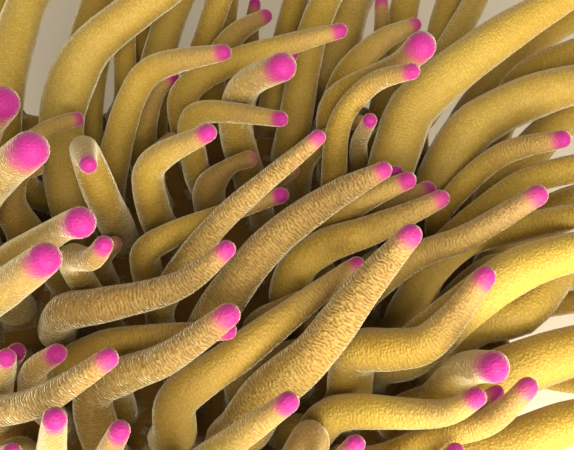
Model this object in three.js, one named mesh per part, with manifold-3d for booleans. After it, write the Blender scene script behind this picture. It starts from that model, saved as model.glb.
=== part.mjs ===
// Giant Caribbean sea anemone (Condylactis gigantea), whole and life size, its tentacles streaming
// to one side as in a slow current. Millimetres, +Z up. The foot stands on z = 0 and the body's
// axis is the Z axis. The current runs towards +X.
//
// The body is a foot (pedal disc), a column that widens like a trumpet, and an oral disc with the
// mouth at its centre. The tentacles grow from the disc in five cycles. The disc is parted into
// arcs, each joined to its own tentacles. The longest tentacles are nodes of their own, in two
// lengths, and stand a thin gap off the disc.
import * as THREE from "three";
import { mergeVertices } from "three/addons/utils/BufferGeometryUtils.js";
import Module from "manifold-3d";

const wasm = await Module();
wasm.setup();

// ---- Driving dimensions ----
const GAP = 0.3; // thin cut between neighbouring pieces
const ROUND_SIDES = 26; // facets round the column

const FOOT_RADIUS = 58;
const FOOT_HEIGHT = 9;
const WAIST_RADIUS = 43;
const WAIST_HEIGHT = 34;
const DISC_RADIUS = 100;
const DISC_CENTRE_HEIGHT = 68; // top of the disc at the mouth
const DISC_RIM_RISE = 7; // the disc is a shallow dish
const DISC_THICKNESS = 8;
const FLARE_STEPS = 4; // of the trumpet from the waist to the disc
const MOUTH_FIELD_RADIUS = 22; // bare field round the mouth

// Each cycle of tentacles is a ring of roots: its radius, how many, and the turn of the first one.
const CYCLES = [
  { radius: 31, count: 10, turn: 0.0 },
  { radius: 46.5, count: 15, turn: 0.5 },
  { radius: 62, count: 20, turn: 0.0 },
  { radius: 77.5, count: 20, turn: 0.5 },
  { radius: 92, count: 35, turn: 0.0 },
];
const CYCLE_PITCH = 15.5; // from one ring of roots to the next
const ROOTS_PER_ARC = 5;
const BAND_EDGES = [
  MOUTH_FIELD_RADIUS,
  ...CYCLES.slice(0, -1).map((cycle) => cycle.radius + CYCLE_PITCH / 2),
  DISC_RADIUS,
];

const ROOT_RADIUS = 6.4; // every tentacle where it leaves the disc
// How far a tentacle's thickest radius is that of its row, and how fast it tapers from there.
const WHOLE = { fullness: 1.14, taper: 0.5 };
const OUT = { fullness: 1.24, taper: 0.42 };
const FREE = { fullness: 1.16, taper: 0.55 };
const NECK_SHARE = 0.92; // the neck below the swollen tip, against the tip's own radius
const NECK_FROM_END = 2.8; // both measured in tip radii
const BULB_FROM_END = 0.85;
const RISE = 6; // how far every tentacle stands straight up from the disc
const FOOT_EASE = 0.5; // how far the foot of a path moves over its root
const SHARPEST = 0.75; // radians from one step of a path to the next
const STOUT = 8.2; // tentacles thicker than this have the larger number of facets
const FACETS = { slender: 5, stout: 6 };
const FACET_OUTSET = { slender: 1.068, stout: 1.047 }; // gives the round tube's mean width
const RING_TOLERANCE = { drawn: 2.0, free: 3.3 }; // how far a faceted tube may stand off

// ---- The drawing board on which the stream of tentacles is laid out ----
// It is tilted towards the maker, ruled in steps, and looked at from one station point.
const BOARD = {
  step: 0.32,
  columns: 574,
  rows: 450,
  tilt: THREE.MathUtils.degToRad(55),
  centre: new THREE.Vector3(19, -5, 115),
  distance: 280,
};
const BOARD_FORWARD = new THREE.Vector3(0, Math.cos(BOARD.tilt), -Math.sin(BOARD.tilt));
const BOARD_UP = new THREE.Vector3(0, Math.sin(BOARD.tilt), Math.cos(BOARD.tilt));
const BOARD_RIGHT = new THREE.Vector3(1, 0, 0);
const STATION = BOARD.centre.clone().addScaledVector(BOARD_FORWARD, -BOARD.distance);

// The point at a height above the floor that covers a column and row of the board.
function boardPoint(column, row, height) {
  const sight = BOARD_FORWARD.clone()
    .multiplyScalar(BOARD.distance)
    .addScaledVector(BOARD_RIGHT, (column - BOARD.columns / 2) * BOARD.step)
    .addScaledVector(BOARD_UP, (BOARD.rows / 2 - row) * BOARD.step);
  return STATION.clone().addScaledVector(sight, (height - STATION.z) / sight.z);
}

// One row for each tentacle: its radius at the thickest, the radius of its tip, then the board
// column, the board row and the height above the floor of its foot, its bends and its tip. The
// foot also says where on the disc the root is. The tentacles that end on the board come first.
const WHOLE_ON_BOARD = [
  // left flank, reared up
  [8.0, 5.6, [-30, 185, 100], [-18, 140, 130], [8, 94, 152]],
  [8.0, 5.6, [-22, 225, 104], [-2, 175, 138], [38, 139, 160]],
  [6.6, 2.9, [108, 226, 92], [98, 186, 112], [84, 150, 128], [89, 167, 142]],
  [7.0, 4.5, [-22, 290, 100], [14, 252, 124], [52, 228, 140], [86, 220, 150]],
  [5.2, 2.8, [76, 296, 92], [72, 258, 116], [94, 258, 128], [107, 240, 138]],
  [7.2, 4.8, [-20, 340, 104], [14, 288, 132], [52, 252, 152]],
  // middle, upper layer
  [6.4, 2.9, [114, 166, 88], [122, 118, 106], [142, 76, 118], [180, 61, 125], [230, 51, 134]],
  [6.2, 3.0, [145, 214, 92], [152, 163, 116], [182, 151, 127], [214, 128, 138]],
  [5.6, 2.8, [188, 148, 86], [183, 96, 104], [222, 66, 114], [300, 41, 122], [347, 29, 130]],
  [6.2, 4.8, [222, 126, 100], [242, 90, 124], [290, 63, 146]],
  [5.0, 2.8, [192, 170, 90], [194, 116, 112], [240, 117, 121], [287, 118, 131]],
  [5.0, 2.6, [170, 296, 88], [205, 234, 108], [262, 188, 124], [322, 132, 142]],
  [6.4, 5.2, [332, 158, 88], [338, 104, 108], [392, 74, 124], [431, 38, 140]],
  [5.0, 2.8, [340, 172, 94], [350, 120, 112], [380, 82, 126], [420, 70, 138]],
  [4.2, 2.9, [356, 160, 92], [362, 134, 108], [371, 118, 122]],
  [7.2, 2.9, [220, 316, 88], [252, 262, 106], [325, 202, 122], [391, 166, 136]],
  [4.0, 2.6, [330, 216, 96], [402, 172, 118]],
  [6.4, 3.0, [284, 268, 90], [340, 219, 106], [414, 178, 122]],
  [5.2, 2.9, [150, 290, 84], [148, 250, 100], [205, 226, 108], [286, 195, 116]],
  [7.0, 3.2, [276, 308, 82], [304, 254, 96], [370, 226, 106], [445, 195, 116]],
  [5.4, 3.6, [346, 312, 84], [404, 268, 100], [470, 238, 114], [546, 191, 128]],
  [5.0, 3.2, [436, 222, 88], [472, 178, 102], [512, 152, 112], [571, 138, 122]],
  // middle, lower layer
  [8.0, 3.4, [256, 446, 82], [262, 396, 96], [324, 340, 112], [372, 276, 126], [418, 226, 140]],
  [7.0, 3.0, [188, 444, 80], [182, 394, 92], [254, 348, 104], [310, 303, 110], [364, 262, 114]],
  [6.2, 2.9, [62, 358, 86], [68, 312, 104], [130, 301, 114], [196, 277, 122], [233, 243, 132]],
  [6.0, 3.6, [100, 432, 84], [98, 390, 98], [160, 362, 114], [238, 308, 132]],
  [5.2, 2.8, [40, 396, 84], [92, 350, 98], [160, 337, 106], [237, 330, 114]],
  [7.6, 3.2, [366, 396, 80], [362, 352, 94], [424, 344, 108], [460, 308, 120], [491, 269, 134]],
  [6.8, 4.6, [456, 414, 78], [468, 374, 102], [506, 366, 128]],
  [6.4, 2.9, [338, 452, 78], [340, 414, 92], [400, 411, 102], [456, 411, 112], [483, 391, 120]],
  [4.0, 2.4, [462, 430, 84], [480, 412, 96], [502, 390, 106]],
  [5.0, 3.1, [412, 466, 80], [440, 436, 92], [500, 414, 104], [532, 381, 116]],
  [5.4, 3.0, [190, 486, 90], [240, 440, 112], [295, 397, 132]],
  [5.4, 3.0, [-24, 440, 96], [24, 403, 116], [72, 384, 126], [117, 352, 138]],
  [4.8, 2.9, [22, 412, 94], [28, 372, 114], [60, 350, 126]],
  [4.4, 2.8, [-4, 400, 92], [18, 350, 118]],
  [4.6, 3.1, [10, 424, 100], [5, 358, 130]],
  [4.8, 3.2, [62, 486, 104], [55, 414, 142]],
  [4.8, 3.0, [98, 486, 96], [122, 425, 128]],
  [4.8, 2.8, [332, 484, 90], [360, 436, 116]],
  [4.6, 2.8, [432, 486, 86], [458, 444, 108]],
  [4.6, 2.8, [384, 490, 84], [408, 454, 104]],
  [4.6, 2.8, [-14, 496, 98], [14, 452, 122]],
  [4.6, 2.8, [-36, 300, 98], [-4, 247, 124]],
  [8.0, 3.4, [318, 478, 80], [312, 436, 94], [280, 470, 104]],
];

// The tentacles that run out of the board, over its upper edge and over its right edge.
const OUT_OF_BOARD = [
  [8.6, 3.6, [72, 214, 84], [62, 120, 98], [86, 56, 112], [150, 2, 126], [260, -70, 140]],
  [8.0, 3.6, [14, 150, 82], [18, 80, 96], [48, -20, 108], [120, -110, 116]],
  [7.4, 3.4, [-34, 120, 86], [-10, 40, 100], [40, -70, 112]],
  [7.2, 3.2, [74, 104, 80], [94, 20, 92], [140, -80, 102]],
  [8.0, 3.4, [148, 112, 82], [162, 50, 96], [200, -34, 110], [270, -100, 118]],
  [4.6, 2.8, [96, 140, 80], [106, 84, 92], [132, 10, 104], [160, -46, 112]],
  [7.4, 3.4, [212, 78, 82], [222, -10, 102], [262, -90, 112]],
  [3.8, 2.6, [248, 66, 82], [250, 30, 94], [256, -2, 104]],
  [5.4, 3.0, [288, 80, 82], [296, 0, 102], [330, -80, 112]],
  [6.4, 3.2, [302, 130, 84], [304, 70, 98], [328, 0, 112], [380, -80, 120]],
  [9.4, 3.6, [350, 96, 80], [352, 10, 100], [396, -96, 112]],
  [4.0, 2.8, [388, 84, 84], [386, 34, 98], [382, -2, 108]],
  [6.2, 3.0, [408, 76, 80], [408, 0, 98], [450, -90, 108]],
  [7.0, 3.2, [440, 100, 78], [446, 20, 92], [490, -80, 104]],
  [5.2, 3.0, [436, 112, 88], [466, 24, 98], [512, -70, 102]],
  // over the right edge
  [9.2, 3.6, [372, 200, 82], [414, 114, 98], [480, 58, 112], [640, -40, 132]],
  [7.2, 3.2, [450, 124, 82], [504, 82, 96], [580, 50, 110], [690, 10, 122]],
  [6.6, 3.0, [482, 94, 84], [552, 30, 92], [670, -20, 98]],
  [9.0, 3.4, [428, 214, 80], [446, 156, 92], [510, 108, 104], [700, 66, 122]],
  [7.2, 3.2, [482, 158, 84], [544, 122, 92], [700, 100, 100]],
  [5.8, 3.0, [444, 246, 82], [484, 202, 96], [530, 178, 106], [670, 150, 120]],
  [7.6, 3.2, [478, 258, 84], [540, 214, 92], [710, 176, 102]],
  [6.6, 3.2, [426, 340, 78], [434, 278, 92], [500, 246, 104], [690, 204, 120]],
  [8.0, 3.4, [434, 388, 78], [472, 324, 96], [524, 276, 108], [690, 232, 124]],
  [8.4, 3.4, [456, 350, 90], [512, 322, 95], [556, 280, 94], [700, 262, 104]],
  [5.4, 3.2, [490, 316, 80], [566, 308, 84], [690, 292, 90]],
  [8.8, 3.4, [466, 392, 82], [530, 354, 90], [710, 322, 102]],
  [6.8, 3.2, [464, 432, 82], [540, 410, 90], [690, 404, 98]],
  [5.4, 3.0, [484, 372, 80], [566, 384, 82], [680, 374, 88]],
];

// ---- The disc's surface and the roots ----
function discHeight(radius) {
  return DISC_CENTRE_HEIGHT + DISC_RIM_RISE * (radius / DISC_RADIUS) ** 2;
}

function makeRoots() {
  const roots = [];
  CYCLES.forEach((cycle, ring) => {
    for (let i = 0; i < cycle.count; i++) {
      const angle = ((i + cycle.turn) / cycle.count) * 2 * Math.PI;
      const out = new THREE.Vector3(Math.cos(angle), Math.sin(angle), 0);
      const foot = out.clone().multiplyScalar(cycle.radius).setZ(discHeight(cycle.radius));
      roots.push({ ring, index: i, out, foot, taken: false });
    }
  });
  return roots;
}

// ---- Paths ----
const BODY_STEPS = 14; // from the root to the neck below the tip

// A tentacle's path as evenly spaced points up to its neck, then its bulb and its end.
function pathThrough(points, tip) {
  const curve = new THREE.CatmullRomCurve3(points, false, "centripetal");
  const length = curve.getLength();
  const stations = [];
  const body = length - NECK_FROM_END * tip;
  for (let i = 0; i <= BODY_STEPS; i++) stations.push((body * i) / BODY_STEPS);
  stations.push(length - BULB_FROM_END * tip, length);
  return stations.map((s) => curve.getPointAt(Math.min(1, s / length)));
}

// Sharp bends are eased until no step turns by more than the sharpest turn.
function easeBends(points) {
  for (let round = 0; round < 60; round++) {
    for (let i = 1; i + 1 < points.length; i++) {
      const into = points[i].clone().sub(points[i - 1]);
      const out = points[i + 1].clone().sub(points[i]);
      if (into.angleTo(out) < SHARPEST) continue;
      const middle = points[i - 1].clone().add(points[i + 1]).multiplyScalar(0.5);
      points[i].lerp(middle, 0.2);
    }
  }
  return points;
}

// The radius at each point of a path: the root's own, then the thickest, then a taper to the neck.
function radiiOf(thick, tip, { fullness, taper }) {
  const neck = tip * NECK_SHARE;
  const radii = [];
  for (let i = 0; i <= BODY_STEPS; i++) {
    const along = i / BODY_STEPS;
    const tapered = neck + (thick * fullness - neck) * (1 - along) ** taper;
    const grown = THREE.MathUtils.smoothstep(along, 0, 0.22);
    radii.push(THREE.MathUtils.lerp(ROOT_RADIUS, tapered, grown));
  }
  return [...radii, tip, 0];
}

// A tentacle starts straight up from its root and passes near the foot of its bends.
function tentacle(root, { bends, thick, tip, shape }, drawn) {
  root.taken = true;
  const [foot, ...rest] = bends;
  const start = root.foot.clone().setZ(root.foot.z - 2);
  const above = root.foot.clone().setZ(foot.z);
  const eased = foot.clone().lerp(above, FOOT_EASE);
  const risen = root.foot.clone().setZ(root.foot.z + RISE).lerp(eased, 0.15);
  const points = easeBends(pathThrough([start, risen, eased, ...rest], tip));
  const drawnPoints = points.map((p) => p.clone());
  return { root, points, drawnPoints, radii: radiiOf(thick, tip, shape), thick, drawn };
}

// Each drawn tentacle takes a free root, and tentacles trade roots for as long as that brings the
// roots closer to where the feet are drawn.
function drawnTentacles(roots) {
  const wanted = [...WHOLE_ON_BOARD, ...OUT_OF_BOARD].map(([thick, tip, ...marks], i) => {
    const bends = marks.map(([column, row, height]) => boardPoint(column, row, height));
    return { thick, tip, bends, shape: i < WHOLE_ON_BOARD.length ? WHOLE : OUT };
  });
  const strain = (want, root) =>
    want ? (root.foot.x - want.bends[0].x) ** 2 + (root.foot.y - want.bends[0].y) ** 2 : 0;
  const takers = roots.map((_, i) => wanted[i]);
  let traded = true;
  while (traded) {
    traded = false;
    for (let i = 0; i < roots.length; i++) {
      for (let j = i + 1; j < roots.length; j++) {
        const now = strain(takers[i], roots[i]) + strain(takers[j], roots[j]);
        const then = strain(takers[j], roots[i]) + strain(takers[i], roots[j]);
        if (then > now - 1e-6) continue;
        [takers[i], takers[j]] = [takers[j], takers[i]];
        traded = true;
      }
    }
  }
  return wanted.map((want) => {
    const root = roots[takers.indexOf(want)];
    return tentacle(root, want, true);
  });
}

// The other tentacles rise from their roots, lean outwards and give way to the current.
const CURRENT = new THREE.Vector3(1, 0.35, 0);
const CURRENT_PULL = [0.15, 0.6, 0.9];
const CLIMB = [1.0, 0.55, 0.1];

function freeTentacles(roots) {
  return roots
    .filter((root) => !root.taken)
    .map((root) => {
      const outer = root.ring / (CYCLES.length - 1);
      const sway = 0.5 + 0.5 * Math.sin(root.index * 2.399 + root.ring * 1.7);
      const upstream = Math.max(0, -root.out.x);
      const length = (38 + 48 * outer * outer + 12 * sway) * (1 - 0.35 * upstream);
      const bends = [root.foot.clone().add(new THREE.Vector3(0, 0, 14))];
      CLIMB.forEach((climb, stage) => {
        const heading = new THREE.Vector3(0, 0, climb - 0.25 * outer * sway)
          .addScaledVector(root.out, (0.35 + 0.25 * sway) * outer)
          .addScaledVector(CURRENT, CURRENT_PULL[stage])
          .normalize();
        bends.push(bends.at(-1).clone().addScaledVector(heading, (length - 14) / CLIMB.length));
      });
      const grown = { bends, thick: 6.2 + 0.9 * sway, tip: 3.0 + 0.4 * sway, shape: FREE };
      return tentacle(root, grown, false);
    });
}

// ---- Soft bodies press each other aside until none of them touch ----
const CLEARANCE = 1.1;
// The bodies settle twice: as they are drawn, and once more when they are faceted.
const ROUND_BODIES = { rounds: 600, first: 1, rooted: 2, near: 16 };
const FACETED_BODIES = { rounds: 400, first: 0, rooted: 0.5, near: 90 };
const SQUEEZE_ROUNDS = 8;
const STIFFNESS = 0.25; // how firmly a tentacle keeps its own bends
const HOLD = 0.04; // how firmly a drawn tentacle stays on its line of sight
const FLOOR_CLEARANCE = 3;

// Shares along segments pq and rs of the two points of them that are closest.
function closestShares(p, q, r, s) {
  const d1 = q.clone().sub(p);
  const d2 = s.clone().sub(r);
  const between = p.clone().sub(r);
  const a = d1.dot(d1);
  const e = d2.dot(d2);
  const f = d2.dot(between);
  const c = d1.dot(between);
  const b = d1.dot(d2);
  const spread = a * e - b * b;
  let first = spread > 1e-9 ? THREE.MathUtils.clamp((b * f - c * e) / spread, 0, 1) : 0;
  let second = (b * first + f) / e;
  if (second < 0) {
    second = 0;
    first = THREE.MathUtils.clamp(-c / a, 0, 1);
  } else if (second > 1) {
    second = 1;
    first = THREE.MathUtils.clamp((b - c) / a, 0, 1);
  }
  return [first, second];
}

// Two tentacles that come too close push each other apart. A drawn one hardly gives way.
function pressApart(one, two, { first, near }) {
  const yielding = one.drawn === two.drawn ? 0.5 : one.drawn ? 0.15 : 0.85;
  for (let i = first; i + 1 < one.points.length; i++) {
    const p = one.points[i];
    const q = one.points[i + 1];
    for (let j = first; j + 1 < two.points.length; j++) {
      const r = two.points[j];
      const s = two.points[j + 1];
      const widest = one.radii[i] + two.radii[j] + CLEARANCE + near;
      if (Math.abs(p.x - r.x) > widest || Math.abs(p.y - r.y) > widest) continue;
      if (Math.abs(p.z - r.z) > widest) continue;
      const [a, b] = closestShares(p, q, r, s);
      const here = p.clone().lerp(q, a);
      const apart = here.sub(r.clone().lerp(s, b));
      const room =
        THREE.MathUtils.lerp(one.radii[i], Math.max(one.radii[i + 1], 1.5), a) +
        THREE.MathUtils.lerp(two.radii[j], Math.max(two.radii[j + 1], 1.5), b) +
        CLEARANCE;
      const distance = apart.length();
      if (distance >= room || distance < 1e-6) continue;
      apart.multiplyScalar((room - distance) / distance);
      one.push[i].addScaledVector(apart, yielding * (1 - a));
      one.push[i + 1].addScaledVector(apart, yielding * a);
      two.push[j].addScaledVector(apart, (yielding - 1) * (1 - b));
      two.push[j + 1].addScaledVector(apart, (yielding - 1) * b);
    }
  }
}

function stayAboveGround(one, { first }) {
  one.points.forEach((point, i) => {
    if (i <= first) return;
    const out = Math.hypot(point.x, point.y);
    const ground = out < DISC_RADIUS + 4 ? discHeight(out) : FLOOR_CLEARANCE;
    const lift = ground + one.radii[i] + CLEARANCE - point.z;
    if (lift > 0) one.push[i].z += lift;
  });
}

// Each point is drawn back to where its neighbours and the tentacle's first shape want it.
function keepShape(one) {
  const { points, drawnPoints, push } = one;
  for (let i = 1; i + 1 < points.length; i++) {
    const middle = points[i - 1].clone().add(points[i + 1]).multiplyScalar(0.5);
    const first = drawnPoints[i - 1].clone().add(drawnPoints[i + 1]).multiplyScalar(0.5);
    const wanted = middle.add(drawnPoints[i]).sub(first);
    push[i].addScaledVector(wanted.sub(points[i]), STIFFNESS);
  }
  if (!one.drawn) return;
  points.forEach((point, i) => {
    const back = drawnPoints[i].clone().sub(point);
    back.addScaledVector(BOARD_FORWARD, -back.dot(BOARD_FORWARD));
    push[i].addScaledVector(back, HOLD * Math.min(1, i / 4));
  });
}

function boxOf(one) {
  return new THREE.Box3().setFromPoints(one.points).expandByScalar(9);
}

// Round by round, every tentacle moves by the sum of what its neighbours and its shape ask of it.
function settle(tentacles, bodies) {
  for (let round = 0; round < bodies.rounds; round++) {
    const boxes = tentacles.map(boxOf);
    for (const one of tentacles) one.push = one.points.map(() => new THREE.Vector3());
    for (const one of tentacles) keepShape(one);
    for (let i = 0; i < tentacles.length; i++) {
      for (let j = i + 1; j < tentacles.length; j++) {
        if (boxes[i].intersectsBox(boxes[j])) pressApart(tentacles[i], tentacles[j], bodies);
      }
    }
    for (const one of tentacles) {
      stayAboveGround(one, bodies);
      one.points.forEach((point, i) => {
        const free = THREE.MathUtils.clamp((i - 0.5) / bodies.rooted, 0, 1);
        point.addScaledVector(one.push[i].clampLength(0, 2), free);
      });
    }
  }
}

// The points of a path that a faceted tube needs: those that stand off the straight line between
// the points kept on either side, or differ from it in girth, by more than the tolerance.
function keptPoints(one, from, to) {
  const { points, radii } = one;
  const line = new THREE.Line3(points[from], points[to]);
  let worst = one.drawn ? RING_TOLERANCE.drawn : RING_TOLERANCE.free;
  let split = -1;
  for (let i = from + 1; i < to; i++) {
    const share = line.closestPointToPointParameter(points[i], true);
    const off = line.at(share, new THREE.Vector3()).distanceTo(points[i]);
    const swell = Math.abs(THREE.MathUtils.lerp(radii[from], radii[to], share) - radii[i]);
    if (off + swell > worst) {
      worst = off + swell;
      split = i;
    }
  }
  if (split < 0) return [from, to];
  return [...keptPoints(one, from, split), ...keptPoints(one, split, to).slice(1)];
}

// Where two faceted bodies are still too close they are squeezed thinner there.
function squeeze(tentacles) {
  for (let round = 0; round < SQUEEZE_ROUNDS; round++) {
    for (const one of tentacles) one.room = one.radii.slice();
    for (let i = 0; i < tentacles.length; i++) {
      for (let j = i + 1; j < tentacles.length; j++) squeezePair(tentacles[i], tentacles[j]);
    }
    for (const one of tentacles) one.radii = one.room;
  }
}

// The kept points on either side of a narrow place are made thinner.
function squeezePair(one, two) {
  for (let i = 0; i + 1 < one.points.length; i++) {
    for (let j = 0; j + 1 < two.points.length; j++) {
      const [p, q] = one.points.slice(i, i + 2);
      const [r, s] = two.points.slice(j, j + 2);
      const [a, b] = closestShares(p, q, r, s);
      const distance = p.clone().lerp(q, a).distanceTo(r.clone().lerp(s, b));
      const first = THREE.MathUtils.lerp(one.radii[i], one.radii[i + 1], a);
      const second = THREE.MathUtils.lerp(two.radii[j], two.radii[j + 1], b);
      const share = (distance - 1.5 * GAP) / ((first + second) * FACET_OUTSET.slender);
      if (share >= 1) continue;
      for (const [which, at] of [[one, i], [one, i + 1], [two, j], [two, j + 1]]) {
        which.room[at] = Math.min(which.room[at], which.radii[at] * Math.max(share, 0.3));
      }
    }
  }
}

const LONG_COUNT = 17; // tentacles that are nodes of their own, in two lengths
const CUT_AT = 8; // the point of the path where a long tentacle is parted

function lengthOf(one) {
  return one.points.slice(1).reduce((sum, p, i) => sum + p.distanceTo(one.points[i]), 0);
}

const roots = makeRoots();
const drawn = drawnTentacles(roots);
const free = freeTentacles(roots);
const tentacles = [...drawn, ...free];
settle(tentacles, ROUND_BODIES);

const whole = drawn.slice(0, WHOLE_ON_BOARD.length);
const long = whole.sort((a, b) => lengthOf(b) - lengthOf(a)).slice(0, LONG_COUNT);
for (const one of tentacles) {
  const end = one.points.length - 2;
  const cuts = long.includes(one) ? [0, CUT_AT, end] : [0, end];
  const kept = [0];
  for (let i = 1; i < cuts.length; i++) kept.push(...keptPoints(one, cuts[i - 1], cuts[i]).slice(1));
  kept.push(end + 1);
  one.cut = kept.indexOf(CUT_AT);
  for (const row of ["points", "drawnPoints", "radii"]) one[row] = kept.map((i) => one[row][i]);
}
settle(tentacles, FACETED_BODIES);
squeeze(tentacles);

// ---- Closed meshes ----
function geometryOf(vertices, faces) {
  return new THREE.BufferGeometry()
    .setAttribute("position", new THREE.Float32BufferAttribute(vertices.flatMap((v) => v.toArray()), 3))
    .setIndex(faces.flat());
}

// Ring centres, directions and radii of a tentacle from one point of its path to another.
function ringsOf(one, from, to) {
  const { points, radii } = one;
  const build = one.thick > STOUT ? "stout" : "slender";
  return points.slice(from, to + 1).map((centre, step) => {
    const i = from + step;
    const ahead = points[i + 1].clone().sub(centre).normalize();
    const behind = i > 0 ? centre.clone().sub(points[i - 1]).normalize() : ahead;
    return {
      centre: centre.clone(),
      heading: ahead.add(behind).normalize(),
      radius: radii[i] * FACET_OUTSET[build],
      sides: FACETS[build],
    };
  });
}

// A tube through rings, flat at each end unless a tip point closes it.
function tubeGeometry(rings, tip) {
  const sides = rings[0].sides;
  const vertices = [];
  const faces = [];
  let side = new THREE.Vector3(0, 1, 0);
  for (const ring of rings) {
    side = side.clone().addScaledVector(ring.heading, -side.dot(ring.heading)).normalize();
    const other = ring.heading.clone().cross(side);
    for (let k = 0; k < sides; k++) {
      const angle = (k / sides) * 2 * Math.PI;
      vertices.push(
        ring.centre
          .clone()
          .addScaledVector(side, ring.radius * Math.cos(angle))
          .addScaledVector(other, ring.radius * Math.sin(angle)),
      );
    }
  }
  for (let r = 0; r + 1 < rings.length; r++) {
    for (let k = 0; k < sides; k++) {
      const a = r * sides + k;
      const b = r * sides + ((k + 1) % sides);
      faces.push([a, b, b + sides], [a, b + sides, a + sides]);
    }
  }
  const top = (rings.length - 1) * sides;
  for (let k = 1; k + 1 < sides; k++) faces.push([0, k + 1, k]);
  if (tip) {
    vertices.push(tip);
    for (let k = 0; k < sides; k++) faces.push([top + k, top + ((k + 1) % sides), vertices.length - 1]);
  } else {
    for (let k = 1; k + 1 < sides; k++) faces.push([top, top + k, top + k + 1]);
  }
  return geometryOf(vertices, faces);
}

// A solid of revolution about the Z axis, its profile starting and ending on the axis.
function turnedGeometry(profile) {
  const points = profile.map(([radius, height]) => new THREE.Vector2(radius, height));
  const turned = new THREE.LatheGeometry(points, ROUND_SIDES);
  return turned.rotateX(Math.PI / 2);
}

function solidOf(geometry) {
  const bare = geometry.clone();
  bare.deleteAttribute("normal");
  bare.deleteAttribute("uv");
  const merged = mergeVertices(bare, 1e-3);
  return new wasm.Manifold(
    new wasm.Mesh({
      numProp: 3,
      vertProperties: new Float32Array(merged.attributes.position.array),
      triVerts: new Uint32Array(merged.index.array),
    }),
  );
}

function geometryFromSolid(solid) {
  const mesh = solid.getMesh();
  return new THREE.BufferGeometry()
    .setAttribute("position", new THREE.BufferAttribute(new Float32Array(mesh.vertProperties), 3))
    .setIndex(new THREE.BufferAttribute(new Uint32Array(mesh.triVerts), 1));
}

// ---- Materials ----
const flesh = (color, roughness) => new THREE.MeshStandardMaterial({ color, roughness, metalness: 0 });
const FLESH = {
  foot: flesh(0xb98a5a, 0.5),
  column: flesh(0xc99c63, 0.45),
  disc: flesh(0x8a6a34, 0.5),
  lips: flesh(0xd8b58c, 0.4),
  tentacle: flesh(0xb08d3e, 0.42),
};

const anemone = new THREE.Group();

function addNode(name, geometry, material) {
  const mesh = new THREE.Mesh(geometry, material.clone());
  mesh.name = name;
  anemone.add(mesh);
}

// ---- Foot and column ----
function addBody() {
  addNode(
    "pedal_disc",
    turnedGeometry([
      [0, 0],
      [FOOT_RADIUS, 0],
      [FOOT_RADIUS + 1.5, 2.5],
      [FOOT_RADIUS - 5, FOOT_HEIGHT],
      [0, FOOT_HEIGHT],
    ]),
    FLESH.foot,
  );
  addNode(
    "column_lower",
    turnedGeometry([
      [0, FOOT_HEIGHT + GAP],
      [FOOT_RADIUS - 5.2, FOOT_HEIGHT + GAP],
      [WAIST_RADIUS + 4, (FOOT_HEIGHT + WAIST_HEIGHT) / 2],
      [WAIST_RADIUS, WAIST_HEIGHT],
      [0, WAIST_HEIGHT],
    ]),
    FLESH.column,
  );
  const under = (radius) => discHeight(radius) - DISC_THICKNESS - GAP;
  const flare = [];
  for (let i = 1; i <= FLARE_STEPS; i++) {
    const share = i / FLARE_STEPS;
    flare.push([
      THREE.MathUtils.lerp(WAIST_RADIUS, DISC_RADIUS, share * share * 0.55 + share * 0.45),
      THREE.MathUtils.lerp(WAIST_HEIGHT, under(DISC_RADIUS), share ** 0.85),
    ]);
  }
  addNode(
    "column_upper",
    turnedGeometry([
      [0, WAIST_HEIGHT + GAP],
      [WAIST_RADIUS, WAIST_HEIGHT + GAP],
      ...flare,
      ...BAND_EDGES.slice(0, -1).reverse().map((radius) => [radius, under(radius)]),
      [0, under(0)],
    ]),
    FLESH.column,
  );
}

// ---- Mouth ----
const LIP_LENGTH = 22;
const LIP_WIDTH = 12;
const LIP_HEIGHT = 4;
const MOUTH_SLIT = 2.4;

function addMouth() {
  const low = (radius) => discHeight(radius) - DISC_THICKNESS;
  addNode(
    "mouth_field",
    turnedGeometry([
      [0, low(0)],
      [MOUTH_FIELD_RADIUS - GAP / 2, low(MOUTH_FIELD_RADIUS)],
      [MOUTH_FIELD_RADIUS - GAP / 2, discHeight(MOUTH_FIELD_RADIUS)],
      [MOUTH_FIELD_RADIUS * 0.5, discHeight(0) + 2],
      [0, discHeight(0) + 2],
    ]),
    FLESH.disc,
  );
  const lip = new THREE.Shape().absellipse(0, 0, LIP_LENGTH / 2, LIP_WIDTH / 2, 0, 2 * Math.PI);
  const rounded = { bevelSize: 1, bevelThickness: 1, bevelSegments: 1, curveSegments: 7 };
  const outer = new THREE.ExtrudeGeometry(lip, { depth: LIP_HEIGHT - 1, ...rounded });
  const slit = new THREE.Shape().absellipse(0, 0, LIP_LENGTH / 2 - 3, MOUTH_SLIT / 2, 0, 2 * Math.PI);
  const straight = { bevelEnabled: false, curveSegments: 5 };
  const cut = new THREE.ExtrudeGeometry(slit, { depth: LIP_HEIGHT * 2, ...straight });
  const base = discHeight(0) + 2 + GAP;
  outer.translate(0, 0, base + 1);
  cut.translate(0, 0, base + 1.5);
  addNode("mouth_lips", geometryFromSolid(solidOf(outer).subtract(solidOf(cut))), FLESH.lips);
}

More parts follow.
